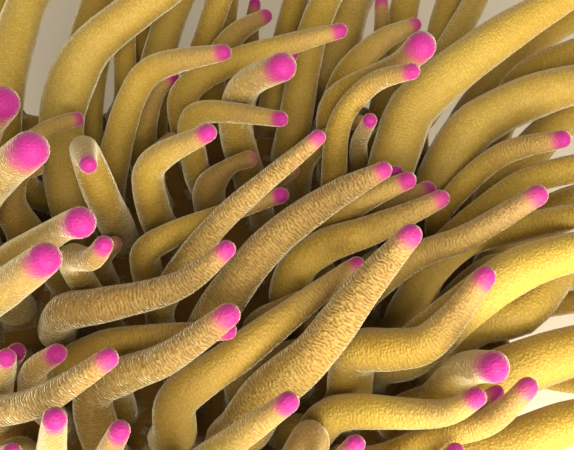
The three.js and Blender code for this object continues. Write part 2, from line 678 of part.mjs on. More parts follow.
// ---- Disc arcs with their tentacles, and the long tentacles ----
// One arc of the disc: a turned band from one radius to the next, kept between two angles.
function discArc(ring, first, next) {
  const inside = BAND_EDGES[ring] + GAP / 2;
  const outside = BAND_EDGES[ring + 1] - GAP / 2;
  const low = (radius) => discHeight(radius) - DISC_THICKNESS;
  const outline = [[inside, discHeight(inside)], [inside, low(inside)]];
  if (ring === CYCLES.length - 1) {
    outline.push([outside - 2, low(outside - 2)], [outside, low(outside) + 3]);
    outline.push([outside - 1, discHeight(outside) - 2], [outside - 4, discHeight(outside - 4)]);
  } else {
    outline.push([outside, low(outside)], [outside, discHeight(outside)]);
  }
  const band = solidOf(turnedGeometry([...outline, outline[0]]));
  const half = (next - first) / 2;
  const middle = first + half;
  const inset = GAP / 2 / Math.sin(half);
  const apex = new THREE.Vector2(inset * Math.cos(middle), inset * Math.sin(middle));
  const reach = [first, middle, next].map((angle) =>
    new THREE.Vector2(Math.cos(angle), Math.sin(angle)).multiplyScalar(4 * DISC_RADIUS).add(apex),
  );
  const sector = new THREE.Shape([apex, ...reach]);
  const wedge = new THREE.ExtrudeGeometry(sector, { depth: DISC_RADIUS, bevelEnabled: false });
  return band.intersect(solidOf(wedge.translate(0, 0, WAIST_HEIGHT)));
}

// What lies under the disc's surface, raised by the gap that parts the long tentacles from it.
function discRaised() {
  const top = [0, ...BAND_EDGES].map((radius) => [radius, discHeight(radius) + GAP]);
  return solidOf(turnedGeometry([[0, WAIST_HEIGHT], [DISC_RADIUS, WAIST_HEIGHT], ...top.reverse()]));
}

function addLongTentacles() {
  const ground = discRaised();
  drawn.filter((one) => long.includes(one)).forEach((one, i) => {
    const name = "tentacle_" + String(i + 1).padStart(2, "0");
    const lower = tubeGeometry(ringsOf(one, 0, one.cut));
    const rings = ringsOf(one, one.cut, one.points.length - 2);
    rings[0].centre.addScaledVector(rings[0].heading, GAP);
    const upper = tubeGeometry(rings, one.points.at(-1));
    addNode(name + "_root_length", geometryFromSolid(solidOf(lower).subtract(ground)), FLESH.tentacle);
    addNode(name + "_tip_length", upper, FLESH.tentacle);
  });
}

// Every arc is joined to the tentacles that grow from it, save the long ones.
function addDiscArcs() {
  CYCLES.forEach((cycle, ring) => {
    const arcs = cycle.count / ROOTS_PER_ARC;
    for (let arc = 0; arc < arcs; arc++) {
      const first = ((arc * ROOTS_PER_ARC + cycle.turn - 0.5) / cycle.count) * 2 * Math.PI;
      let solid = discArc(ring, first, first + (2 * Math.PI) / arcs);
      for (const one of tentacles) {
        const mine = one.root.ring === ring && Math.floor(one.root.index / ROOTS_PER_ARC) === arc;
        if (!mine || long.includes(one)) continue;
        const rings = ringsOf(one, 0, one.points.length - 2);
        solid = solid.add(solidOf(tubeGeometry(rings, one.points.at(-1))));
      }
      addNode(`disc_cycle${ring + 1}_arc${arc + 1}`, geometryFromSolid(solid), FLESH.tentacle);
    }
  });
}

addBody();
addMouth();
addLongTentacles();
addDiscArcs();

export default anemone;
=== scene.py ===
"""Looks of a giant Caribbean sea anemone, life size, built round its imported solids.

The foot, the column, the disc with its mouth and all the tentacles wear one closed skin. Lengths
are metres, +Z is up, the foot stands on z = 0 and the current runs towards +X.
"""

from __future__ import annotations

import itertools
import logging
import math
from collections.abc import Callable
from dataclasses import dataclass, field
from enum import Enum

import bmesh
import bpy
import numpy as np
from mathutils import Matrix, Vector, kdtree, noise


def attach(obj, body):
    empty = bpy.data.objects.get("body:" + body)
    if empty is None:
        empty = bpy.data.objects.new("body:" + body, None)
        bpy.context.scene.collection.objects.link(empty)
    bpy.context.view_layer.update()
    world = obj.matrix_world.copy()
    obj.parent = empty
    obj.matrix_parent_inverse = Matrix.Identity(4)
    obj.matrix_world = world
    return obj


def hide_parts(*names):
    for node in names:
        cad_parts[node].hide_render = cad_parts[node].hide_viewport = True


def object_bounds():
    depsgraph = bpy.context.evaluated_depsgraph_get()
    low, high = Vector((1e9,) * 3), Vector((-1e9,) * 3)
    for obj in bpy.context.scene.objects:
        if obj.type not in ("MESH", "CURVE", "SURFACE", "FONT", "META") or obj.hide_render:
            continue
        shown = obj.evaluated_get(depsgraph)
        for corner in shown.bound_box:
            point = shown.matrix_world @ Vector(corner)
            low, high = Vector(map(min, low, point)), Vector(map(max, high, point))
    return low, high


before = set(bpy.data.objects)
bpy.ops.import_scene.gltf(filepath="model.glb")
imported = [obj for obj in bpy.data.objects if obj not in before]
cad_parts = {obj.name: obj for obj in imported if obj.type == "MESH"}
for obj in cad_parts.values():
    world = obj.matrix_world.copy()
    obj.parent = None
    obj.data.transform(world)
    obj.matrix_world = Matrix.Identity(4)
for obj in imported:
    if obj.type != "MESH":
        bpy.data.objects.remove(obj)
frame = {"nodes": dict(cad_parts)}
CAD_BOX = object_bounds()

log = logging.getLogger("anemone")
MM = 0.001
Colour = tuple[float, float, float]
Piece = bpy.types.Object
Socket = bpy.types.NodeSocket


# ---- Small helpers for working by hand ----
def deselect_all() -> None:
    """Leaves object mode clean, with nothing selected."""
    if bpy.context.object and bpy.context.object.mode != "OBJECT":
        bpy.ops.object.mode_set(mode="OBJECT")
    bpy.ops.object.select_all(action="DESELECT")


def take_up(piece: Piece) -> None:
    """Makes one piece the only selected and the active one.

    Args:
        piece: the object to work on.
    """
    deselect_all()
    piece.select_set(True)
    bpy.context.view_layer.objects.active = piece


def corners_of(mesh: bpy.types.Mesh) -> np.ndarray:
    """The places of a mesh's vertices.

    Args:
        mesh: any mesh.

    Returns:
        An array with a row of three for each vertex.
    """
    flat = np.empty(len(mesh.vertices) * 3)
    mesh.vertices.foreach_get("co", flat)
    return flat.reshape(-1, 3)


def pick(piece: Piece, kind: str, wanted: Callable[[object], bool]) -> None:
    """Enters edit mode with some edges or faces of a piece selected.

    Args:
        piece: the active object.
        kind: EDGE or FACE.
        wanted: tells whether to select one of them.
    """
    bpy.ops.object.mode_set(mode="EDIT")
    bpy.ops.mesh.select_mode(type=kind)
    bpy.ops.mesh.select_all(action="DESELECT")
    shell = bmesh.from_edit_mesh(piece.data)
    for part in shell.edges if kind == "EDGE" else shell.faces:
        part.select_set(wanted(part))
    bmesh.update_edit_mesh(piece.data)


def set_corners(mesh: bpy.types.Mesh, places: np.ndarray) -> None:
    """Moves a mesh's vertices to new places, a row of three for each."""
    mesh.vertices.foreach_set("co", np.ascontiguousarray(places, dtype=float).ravel())
    mesh.update()


def between(first: np.ndarray, second: np.ndarray, start: float, end: float, now: float) -> np.ndarray:
    """The value now, on the straight way from a first one at the start to a second at the end."""
    return ((end - now) * first + (now - start) * second) / (end - start)


# ---- The reference view ----
@dataclass(frozen=True)
class ReferenceView:
    """The board on which the stream of tentacles is laid out, and the eye that looks at it."""

    columns: int = 574
    rows: int = 450
    step: float = 0.32 * MM
    tilt: float = math.radians(55)
    centre: tuple[float, float, float] = (0.019, -0.005, 0.115)
    distance: float = 0.280
    sensor: float = 36.0
    clip_start: float = 0.01

    @property
    def forward(self) -> np.ndarray:
        """The way the eye looks."""
        return np.array([0.0, math.cos(self.tilt), -math.sin(self.tilt)])

    @property
    def up(self) -> np.ndarray:
        """The way up on the board."""
        return np.array([0.0, math.sin(self.tilt), math.cos(self.tilt)])

    @property
    def eye(self) -> np.ndarray:
        """Where the eye stands."""
        return np.array(self.centre) - self.forward * self.distance

    def on_board(self, place: np.ndarray) -> tuple[float, float]:
        """Column and row of the board that a place covers.

        Args:
            place: a point of the model.

        Returns:
            The column and the row.
        """
        away = place - self.eye
        reach = self.distance / float(away @ self.forward)
        column = self.columns / 2 + away[0] * reach / self.step
        row = self.rows / 2 - float(away @ self.up) * reach / self.step
        return column, row

    def sees(self, place: np.ndarray, margin: float) -> bool:
        """Whether a place lies on the board, or no further than a margin outside it."""
        column, row = self.on_board(place)
        return -margin < column < self.columns + margin and -margin < row < self.rows + margin

    def set_up_camera(self) -> None:
        """Places the scene's camera at the eye."""
        camera = bpy.data.cameras.new("reference_camera")
        camera.sensor_width = self.sensor
        camera.lens = self.sensor * self.distance / (self.columns * self.step)
        camera.clip_start = self.clip_start
        holder = bpy.data.objects.new("reference_camera", camera)
        bpy.context.scene.collection.objects.link(holder)
        holder.location = self.eye
        holder.rotation_euler = (math.pi / 2 - self.tilt, 0.0, 0.0)
        bpy.context.scene.camera = holder


VIEW = ReferenceView()


# ---- The disc and its cycles of roots ----
@dataclass(frozen=True)
class Cycle:
    """A ring of roots on the disc: its radius, how many roots, and the turn of the first one."""

    radius: float
    count: int
    turn: float


CYCLES = (
    Cycle(31.0 * MM, 10, 0.0),
    Cycle(46.5 * MM, 15, 0.5),
    Cycle(62.0 * MM, 20, 0.0),
    Cycle(77.5 * MM, 20, 0.5),
    Cycle(92.0 * MM, 35, 0.0),
)
ROOTS_PER_ARC = 5
DISC_RADIUS = 100 * MM
DISC_HEIGHT = 68 * MM
DISC_RISE = 7 * MM


def disc_height(radius: float) -> float:
    """Height of the disc's surface at a radius."""
    return DISC_HEIGHT + DISC_RISE * (radius / DISC_RADIUS) ** 2


def root_place(cycle: int, index: int) -> np.ndarray:
    """Where a root stands on the disc.

    Args:
        cycle: which ring of roots, from 0 at the mouth.
        index: which root of that ring.

    Returns:
        The root's centre on the disc's surface.
    """
    ring = CYCLES[cycle]
    angle = (index + ring.turn) / ring.count * 2 * math.pi
    height = disc_height(ring.radius)
    return np.array([ring.radius * math.cos(angle), ring.radius * math.sin(angle), height])


# ---- The courses of the tentacles, read back from the solids ----
@dataclass(frozen=True)
class Ring:
    """A ring of corners round a faceted tube: its centre, radius and number of corners."""

    centre: np.ndarray
    radius: float
    sides: int


class RingWalk:
    """Follows the rings of corners that a solid's faceted tubes are made of."""

    WELD = 2e-6
    EVEN = 0.045  # how much the corners' distances from the centre may differ
    FLAT = 0.03  # how thick a ring may be, against its width
    ROUND = 0.9  # how narrow a ring may be one way, against the other
    TIP_ASIDE = 0.8  # how far a tip may lie off the axis of its ring, in radii
    TIP_RISE = 2.6  # how far a tip may stand from its ring, in radii
    OUTSET = {5: 1.068, 6: 1.047}  # the solids' corners stand out so that a tube has its mean width

    def __init__(self, node: Piece) -> None:
        """Welds a copy of the node's mesh.

        Args:
            node: a CAD node's object.
        """
        welded = bmesh.new()
        welded.from_mesh(node.data)
        bmesh.ops.remove_doubles(welded, verts=welded.verts, dist=self.WELD)
        welded.verts.index_update()
        self.corners = np.array([tuple(corner.co) for corner in welded.verts])
        self.beside = [
            {edge.other_vert(corner).index for edge in corner.link_edges} for corner in welded.verts
        ]
        welded.free()

    def ring(self, members: set[int]) -> Ring | None:
        """The ring that a few corners make, if they are a flat and even polygon.

        Args:
            members: indices of the corners.

        Returns:
            The ring, or None where the corners aren't one.
        """
        if len(members) not in self.OUTSET:
            return None
        places = self.corners[sorted(members)]
        centre = places.mean(axis=0)
        reach = np.linalg.norm(places - centre, axis=1)
        if reach.max() - reach.min() > self.EVEN * reach.mean():
            return None
        spread = np.linalg.svd(places - centre, compute_uv=False)
        if spread[2] > self.FLAT * spread[0] or spread[1] < self.ROUND * spread[0]:
            return None
        return Ring(centre, float(reach.mean()) / self.OUTSET[len(members)], len(members))

    def walk(self, start: set[int], behind: set[int]) -> list[Ring]:
        """Rings from a first one onwards, until the next corners aren't a ring.

        Args:
            start: the corners of the first ring.
            behind: corners that were passed already.

        Returns:
            The rings, in order.
        """
        rings: list[Ring] = []
        passed = set(behind)
        current = set(start)
        while True:
            found = self.ring(current)
            if found is None or (rings and found.sides != rings[0].sides):
                return rings
            rings.append(found)
            passed |= current
            current = set().union(*(self.beside[i] for i in current)) - passed

    def tips(self) -> list[tuple[np.ndarray, list[Ring]]]:
        """Every tentacle tip of the solid, with the rings that follow it.

        Returns:
            Pairs of the tip's place and its rings, from the tip down.
        """
        found = []
        for pole, around in enumerate(self.beside):
            first = self.ring(around)
            if first is None:
                continue
            rise = self.corners[pole] - first.centre
            places = self.corners[sorted(around)] - first.centre
            facing = np.linalg.svd(places)[2][2]
            aside = np.linalg.norm(rise - facing * float(rise @ facing)) / first.radius
            if aside > self.TIP_ASIDE or np.linalg.norm(rise) / first.radius > self.TIP_RISE:
                continue
            found.append((self.corners[pole], self.walk(around, {pole})))
        return found

    def from_cut(self, near: np.ndarray, sides: int) -> list[Ring]:
        """The rings of a tube that is cut flat near a place, from its cut end onwards."""
        order = np.argsort(np.linalg.norm(self.corners - near, axis=1))
        return self.walk({int(i) for i in order[:sides]}, set())


@dataclass
class Course:
    """The line a tentacle follows from its root to its tip, and its girth along it."""

    centres: np.ndarray
    radii: np.ndarray
    lot: int = 0
    samples: np.ndarray = field(default_factory=lambda: np.zeros((0, 4)))
    reaches: np.ndarray = field(default_factory=lambda: np.zeros(0))

    SUNK = 5 * MM  # how far its root reaches down into the disc
    PER_SPAN = 24  # samples from one ring to the next
    YOUNG_HEIGHT = 105 * MM

    def smooth(self) -> None:
        """Draws the smooth line through the rings, evenly measured along its length."""
        knots = np.column_stack([self.centres, self.radii])
        knots = np.vstack([2 * knots[0] - knots[1], knots, 2 * knots[-1] - knots[-2]])
        knots[0, 3], knots[-1, 3] = knots[1, 3], knots[-2, 3]
        line = [knots[1]]
        for a, b, c, d in zip(knots, knots[1:], knots[2:], knots[3:]):
            spans = [max(1e-6, np.linalg.norm((q - p)[:3])) ** 0.5 for p, q in ((a, b), (b, c), (c, d))]
            t0 = 0.0
            t1 = spans[0]
            t2 = t1 + spans[1]
            t3 = t2 + spans[2]
            for t in np.linspace(t1, t2, self.PER_SPAN + 1)[1:]:
                ab = between(a, b, t0, t1, t)
                bc = between(b, c, t1, t2, t)
                cd = between(c, d, t2, t3, t)
                abc = between(ab, bc, t0, t2, t)
                bcd = between(bc, cd, t1, t3, t)
                line.append(between(abc, bcd, t1, t2, t))
        self.samples = np.array(line)
        steps = np.linalg.norm(np.diff(self.samples[:, :3], axis=0), axis=1)
        self.reaches = np.concatenate([[0.0], np.cumsum(steps)])

    @property
    def length(self) -> float:
        """Length from the sunken root to the end of the tip."""
        return float(self.reaches[-1])

    @property
    def young(self) -> bool:
        """Whether it is one of the short tentacles low in the middle of the crown."""
        return self.tip[2] < self.YOUNG_HEIGHT and float(np.hypot(*self.tip[:2])) < DISC_RADIUS

    @property
    def tip(self) -> np.ndarray:
        """The end of the tentacle."""
        return self.centres[-1]

    def at(self, reach: np.ndarray) -> tuple[np.ndarray, np.ndarray]:
        """Centres, a row each, and radii at some lengths from the root."""
        rows = np.column_stack([np.interp(reach, self.reaches, self.samples[:, k]) for k in range(4)])
        return rows[:, :3], rows[:, 3]


class CourseReader:
    """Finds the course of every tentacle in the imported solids."""

    CLEAR = 2 * MM  # how high above the disc the first ring counts
    FOOT_GIRTH = 1.03  # how much wider than that ring the foot is

    def __init__(self, nodes: dict[str, Piece]) -> None:
        """Keeps the nodes at hand.

        Args:
            nodes: the CAD nodes by name.
        """
        self.nodes = nodes
        self.courses: list[Course] = []
        self.used: set[tuple[int, int]] = set()

    def _add(self, root: tuple[int, int], rings: list[Ring], tip: np.ndarray) -> None:
        """Keeps a course.

        Args:
            root: its cycle and its place in the cycle.
            rings: its rings, from the tip down.
            tip: the end of the tentacle.
        """
        foot = root_place(*root)
        upward = rings[::-1]
        while len(upward) > 2 and upward[0].centre[2] - foot[2] < self.CLEAR:
            upward = upward[1:]
        sunk = foot - np.array([0.0, 0.0, Course.SUNK])
        centres = np.array([sunk, foot, *(ring.centre for ring in upward), tip])
        girth = upward[0].radius * self.FOOT_GIRTH
        radii = np.array([girth, girth, *(ring.radius for ring in upward), upward[-1].radius])
        self.courses.append(Course(centres, radii))

    def _nearest_root(self, place: np.ndarray) -> tuple[int, int]:
        """The root of any cycle that is closest to a place on the disc."""
        roots = [(c, i) for c, cycle in enumerate(CYCLES) for i in range(cycle.count)]
        return min(roots, key=lambda root: float(np.linalg.norm((root_place(*root) - place)[:2])))

    def _read_long(self) -> None:
        """Reads the long tentacles, which are nodes of their own in two lengths."""
        for name in sorted(self.nodes):
            if not name.endswith("_tip_length"):
                continue
            tip, upper = RingWalk(self.nodes[name]).tips()[0]
            walk = RingWalk(self.nodes[name.replace("_tip_", "_root_")])
            lower = walk.from_cut(upper[-1].centre, upper[0].sides)
            low = walk.corners[:, 2] < walk.corners[:, 2].min() + self.CLEAR
            root = self._nearest_root(walk.corners[low].mean(axis=0))
            self.used.add(root)
            self._add(root, upper + lower[1:], tip)

    def _read_arc(self, cycle: int, arc: int) -> None:
        """Reads the tentacles that are joined to one arc of the disc.

        Args:
            cycle: which ring of roots, from 0 at the mouth.
            arc: which arc of that ring, from 0.
        """
        found = RingWalk(self.nodes[f"disc_cycle{cycle + 1}_arc{arc + 1}"]).tips()
        first = arc * ROOTS_PER_ARC
        roots = [(cycle, i) for i in range(first, first + ROOTS_PER_ARC)]
        roots = [root for root in roots if root not in self.used]
        places = [root_place(*root) for root in roots]
        best = min(
            itertools.permutations(range(len(roots)), len(found)),
            key=lambda order: sum(
                float(np.linalg.norm((places[i] - rings[-1].centre)[:2])) ** 2
                for i, (_, rings) in zip(order, found)
            ),
        )
        for i, (tip, rings) in zip(best, found):
            self._add(roots[i], rings, tip)

    def read(self) -> list[Course]:
        """Reads every course.

        Returns:
            The courses, each drawn smooth.
        """
        self._read_long()
        for cycle, ring in enumerate(CYCLES):
            for arc in range(ring.count // ROOTS_PER_ARC):
                self._read_arc(cycle, arc)
        for lot, course in enumerate(self.courses):
            course.lot = lot
            course.smooth()
        return self.courses


# ---- What a skin point knows about itself ----
class Mark(Enum):
    """The values that the skin carries from point to point."""

    STRAIGHT = "straightened"  # place on the tentacle pulled straight, z from the tip
    TIP_GAP = "tip_gap"  # distance from the tentacle's end
    TIP_SHARE = "tip_share"  # the same, in radii of the tip
    FOLDS = "folds"  # how far the flesh is drawn up in cross folds
    TONE = "tone"  # greyed mauve at -1, olive tan at 0, yellow at 1
    TRUNK = "trunk"  # 1 on the foot, column and disc, 0 on a tentacle
    SHELTER = "shelter"  # how far down it is among the tentacles, 0 at their tops; sets the painted shade


@dataclass
class Marks:
    """Rows of values for the points of a piece, in step with its vertices."""

    places: np.ndarray
    straight: np.ndarray
    tip_gap: np.ndarray
    tip_share: np.ndarray
    folds: np.ndarray
    tone: np.ndarray
    trunk: np.ndarray


class Habit(Enum):
    """How a tentacle carries its flesh."""

    SMOOTH = 0.12
    LINED = 0.45
    CRINKLED = 1.0


# Tentacles set apart from the rest, by habit: the column and row of the board where the tip
# stands, and the tone.
CHARACTERS = {
    Habit.CRINKLED: (
        (322, 132, -0.5), (391, 166, -0.6), (418, 226, -0.1), (233, 243, -0.5), (238, 308, -0.3),
        (117, 352, -0.5),
    ),
    Habit.LINED: (
        (546, 191, -0.5), (402, 172, -0.2), (445, 195, 0.0), (571, 138, -0.1), (491, 269, 0.1),
        (60, 350, -0.3), (414, 70, -0.1), (295, 397, 0.5),
    ),
    Habit.SMOOTH: (
        (230, 51, -0.2), (347, 29, -0.2), (214, 128, 0.1), (287, 118, 0.1), (483, 391, 0.5),
    ),
}
CHARACTER_REACH = 12.0  # how far from its place on the board a tip may stand


# ---- Tentacles ----
class Grade(Enum):
    """How finely a tentacle is modelled: sides and rings."""

    NEAR_LONG = (16, 84)
    NEAR_SHORT = (16, 56)
    FAR = (10, 30)


class TentacleMaster:
    """A straight tentacle, modelled once for each grade, and bent along every course."""

    CAP_RINGS = 6
    CAP_LENGTH = 0.95  # how long the rounded tip is, in tip radii
    PALER = 1.2  # how much less of a young tip is flushed, in tip radii
    HEADING_REACH = 0.4 * MM  # how far ahead and back a ring looks for its heading
    SWELL_LENGTH = 11 * MM
    SWELL_SHARES = (0.985, 0.045)  # the mean girth, and how far the swellings change it
    TEXTURE_PITCH = 0.05  # sets the tentacles apart where the textures are laid out
    EASE = 25 * MM  # how far from a wall of the box a tentacle starts to be eased back
    SPARE = 0.15 * MM  # how far it then stays from the wall
    DRAWN_UP = (1.15, 0.9, 0.2)  # share of the folds at the tip, its loss to the root, and the least

    def __init__(self, grade: Grade) -> None:
        """Models the straight tentacle.

        Args:
            grade: how finely it is modelled.
        """
        self.sides, self.rings = grade.value
        deselect_all()
        bpy.ops.mesh.primitive_cylinder_add(
            vertices=self.sides, radius=1.0, depth=1.0, location=(0, 0, 0.5)
        )
        self.piece = bpy.context.object
        self.piece.name = f"tentacle_master_{grade.name.lower()}"
        bpy.ops.object.transform_apply(location=True, rotation=True, scale=True)
        self._ring_the_wall()
        self._point_the_ends()

    def _ring_the_wall(self) -> None:
        """Cuts the wall into rings from root to tip."""
        pick(self.piece, "EDGE", lambda edge: abs(edge.verts[0].co.z - edge.verts[1].co.z) > 0.5)
        bpy.ops.mesh.subdivide(number_cuts=self.rings - 1)
        bpy.ops.object.mode_set(mode="OBJECT")

    def _point_the_ends(self) -> None:
        """Parts each end face into a fan round a point in its middle."""
        pick(self.piece, "FACE", lambda face: abs(face.normal.z) > 0.9)
        bpy.ops.mesh.poke()
        bpy.ops.object.mode_set(mode="OBJECT")

    def _cap(self, course: Course) -> float:
        """Length of the rounded tip."""
        return self.CAP_LENGTH * float(course.radii[-1])

    def _reaches(self, course: Course) -> np.ndarray:
        """Where along a course the rings sit, closer together in the round tip.

        Args:
            course: the tentacle's course.

        Returns:
            Lengths from the root.
        """
        cap = self._cap(course)
        wall = np.linspace(0.0, course.length - cap, self.rings + 1 - self.CAP_RINGS)
        turn = np.linspace(0.0, math.pi / 2, self.CAP_RINGS + 2)[1:-1]
        return np.concatenate([wall, course.length - cap + cap * np.sin(turn)])

    def _girths(self, course: Course, reach: np.ndarray, radii: np.ndarray) -> np.ndarray:
        """The rings' radii, with slow swellings, and rounded off at the tip.

        Args:
            course: the tentacle's course.
            reach: where along it the rings sit.
            radii: the course's radii there.

        Returns:
            A radius for each ring.
        """
        cap = self._cap(course)
        beyond = np.clip((reach - (course.length - cap)) / cap, 0.0, 1.0)
        mean, change = self.SWELL_SHARES
        swell = np.array([self._swell(course.lot, value) for value in reach])
        return radii * np.sqrt(1.0 - beyond**2) * (mean + change * swell)

    def bend(self, course: Course, folds: float, tone: float) -> tuple[Piece, Marks]:
        """Copies the straight tentacle and bends the copy along a course.

        Args:
            course: the tentacle's course.
            folds: how far its flesh is drawn up.
            tone: its colour, from mauve to yellow.

        Returns:
            The bent copy and what its points know.
        """
        straight = corners_of(self.piece.data)
        around = np.arctan2(straight[:, 1], straight[:, 0])
        spoke = np.hypot(straight[:, 0], straight[:, 1])
        level = np.clip(np.rint(straight[:, 2] * self.rings).astype(int), 0, self.rings)
        reach = self._reaches(course)
        centres, radii = course.at(reach)
        radii = self._girths(course, reach, radii)
        ahead, _ = course.at(np.minimum(reach + self.HEADING_REACH, course.length))
        back, _ = course.at(np.maximum(reach - self.HEADING_REACH, 0.0))
        headings = ahead - back
        headings /= np.linalg.norm(headings, axis=1)[:, None]
        sides = self._sides(headings)
        others = np.cross(headings, sides)
        aside = np.cos(around) * spoke * radii[level]
        across = np.sin(around) * spoke * radii[level]
        bent = centres[level] + sides[level] * aside[:, None] + others[level] * across[:, None]
        end = (spoke < 0.5) & (level == self.rings)
        bent[end] = course.samples[-1, :3]
        bent = self._kept_in(bent)

        piece = self.piece.copy()
        piece.data = self.piece.data.copy()
        piece.name = f"tentacle_{course.lot + 1:03d}"
        bpy.context.scene.collection.objects.link(piece)
        set_corners(piece.data, bent)

        gap = course.length - reach[level]
        gap[end] = 0.0
        most, loss, least = self.DRAWN_UP
        marks = Marks(
            places=bent,
            straight=np.column_stack([aside, across, gap + course.lot * self.TEXTURE_PITCH]),
            tip_gap=gap,
            tip_share=gap / float(course.radii[-1]) + (self.PALER if course.young else 0.0),
            folds=folds * np.clip(most - gap / course.length * loss, least, 1.0),
            tone=np.full(len(bent), tone),
            trunk=np.zeros(len(bent)),
        )
        return piece, marks

    def _kept_in(self, places: np.ndarray) -> np.ndarray:
        """Eases a tentacle back where it would stand out of the solids' own box.

        Args:
            places: the tentacle's points.

        Returns:
            The points, moved smoothly inwards near the box's walls.
        """
        walls = [(axis, way) for axis in range(3) for way in (-1, 1)]
        walls.remove((2, -1))
        for axis, way in walls:
            wall = CAD_BOX[1 if way > 0 else 0][axis]
            inside = way * (wall - places[:, axis])
            over = self.SPARE - float(inside.min())
            if over > 0:
                near = np.clip(1.0 - inside / self.EASE, 0.0, 1.0)
                places[:, axis] -= way * over * near * near * (3 - 2 * near)
        return places

    @staticmethod
    def _sides(headings: np.ndarray) -> np.ndarray:
        """A sideways direction at each ring, carried along without twist.

        Args:
            headings: the way the tentacle runs at each ring.

        Returns:
            The directions, a row each.
        """
        side = np.array([0.0, 1.0, 0.0])
        carried = []
        for heading in headings:
            side = side - heading * float(side @ heading)
            side = side / np.linalg.norm(side)
            carried.append(side)
        return np.array(carried)

    def _swell(self, lot: int, reach: float) -> float:
        """Slow swellings along a tentacle, from -1 to 1."""
        return noise.noise(Vector((lot * 3.7, 0.0, reach / self.SWELL_LENGTH)))


class Crown:
    """All the tentacles, joined in bunches."""

    WINDOW = 30.0  # how far outside the board a tip still counts as near
    LONG = 105 * MM  # tentacles longer than this have more rings
    SKIP = 3  # every how many samples two courses are compared
    FULLER = 1.06  # how much their girths are enlarged for that
    CLEAR = 0.6 * MM  # what has to be left between them
    FOLDS = (0.3, 0.25)  # of a tentacle without a character: the mean, and how far it varies
    TONE = 0.6  # how far its tone varies

    def __init__(self, courses: list[Course]) -> None:
        """Keeps the courses, one for each tentacle."""
        self.courses = courses

    def _character(self, course: Course) -> tuple[float, float]:
        """What sets a tentacle apart, from its place on the board or its lot.

        Args:
            course: the tentacle's course.

        Returns:
            How far its flesh is drawn up, and its tone.
        """
        column, row = VIEW.on_board(course.tip)
        for habit, tips in CHARACTERS.items():
            for tip_column, tip_row, tone in tips:
                if math.hypot(tip_column - column, tip_row - row) < CHARACTER_REACH:
                    return habit.value, tone
        mean, change = self.FOLDS
        folds = mean + change * noise.noise(Vector((course.lot * 1.37, 4.2, 0.5)))
        return folds, self.TONE * noise.noise(Vector((course.lot * 2.11, 9.1, 0.5)))

    def _bunches(self) -> list[list[int]]:
        """Parts the tentacles into bunches in which none presses on another.

        Returns:
            Lists of the tentacles' lots.
        """
        lines = [course.samples[:: self.SKIP] for course in self.courses]
        bunches: list[list[int]] = []
        for lot, line in enumerate(lines):
            for bunch in bunches:
                if all(self._apart(line, lines[other]) for other in bunch):
                    bunch.append(lot)
                    break
            else:
                bunches.append([lot])
        return bunches

    def _apart(self, one: np.ndarray, two: np.ndarray) -> bool:
        """Whether two courses keep clear of each other all along."""
        gaps = np.linalg.norm(one[:, None, :3] - two[None, :, :3], axis=2)
        return bool((gaps > (one[:, None, 3] + two[None, :, 3]) * self.FULLER + self.CLEAR).all())

    def build(self) -> tuple[list[Piece], list[Marks]]:
        """Bends a copy of the master along every course and joins the copies in bunches.

        Returns:
            The bunches of tentacles and what their points know.
        """
        masters = {grade: TentacleMaster(grade) for grade in Grade}
        pieces, marks = [], []
        for course in self.courses:
            grade = Grade.FAR
            if VIEW.sees(course.tip, self.WINDOW):
                grade = Grade.NEAR_LONG if course.length > self.LONG else Grade.NEAR_SHORT
            folds, tone = self._character(course)
            piece, known = masters[grade].bend(course, folds, tone)
            pieces.append(piece)
            marks.append(known)
        crown = []
        for lots in self._bunches():
            deselect_all()
            for lot in lots:
                pieces[lot].select_set(True)
            bpy.context.view_layer.objects.active = pieces[lots[0]]
            bpy.ops.object.join()
            crown.append(bpy.context.object)
        for master in masters.values():
            bpy.data.objects.remove(master.piece)
        return crown, marks


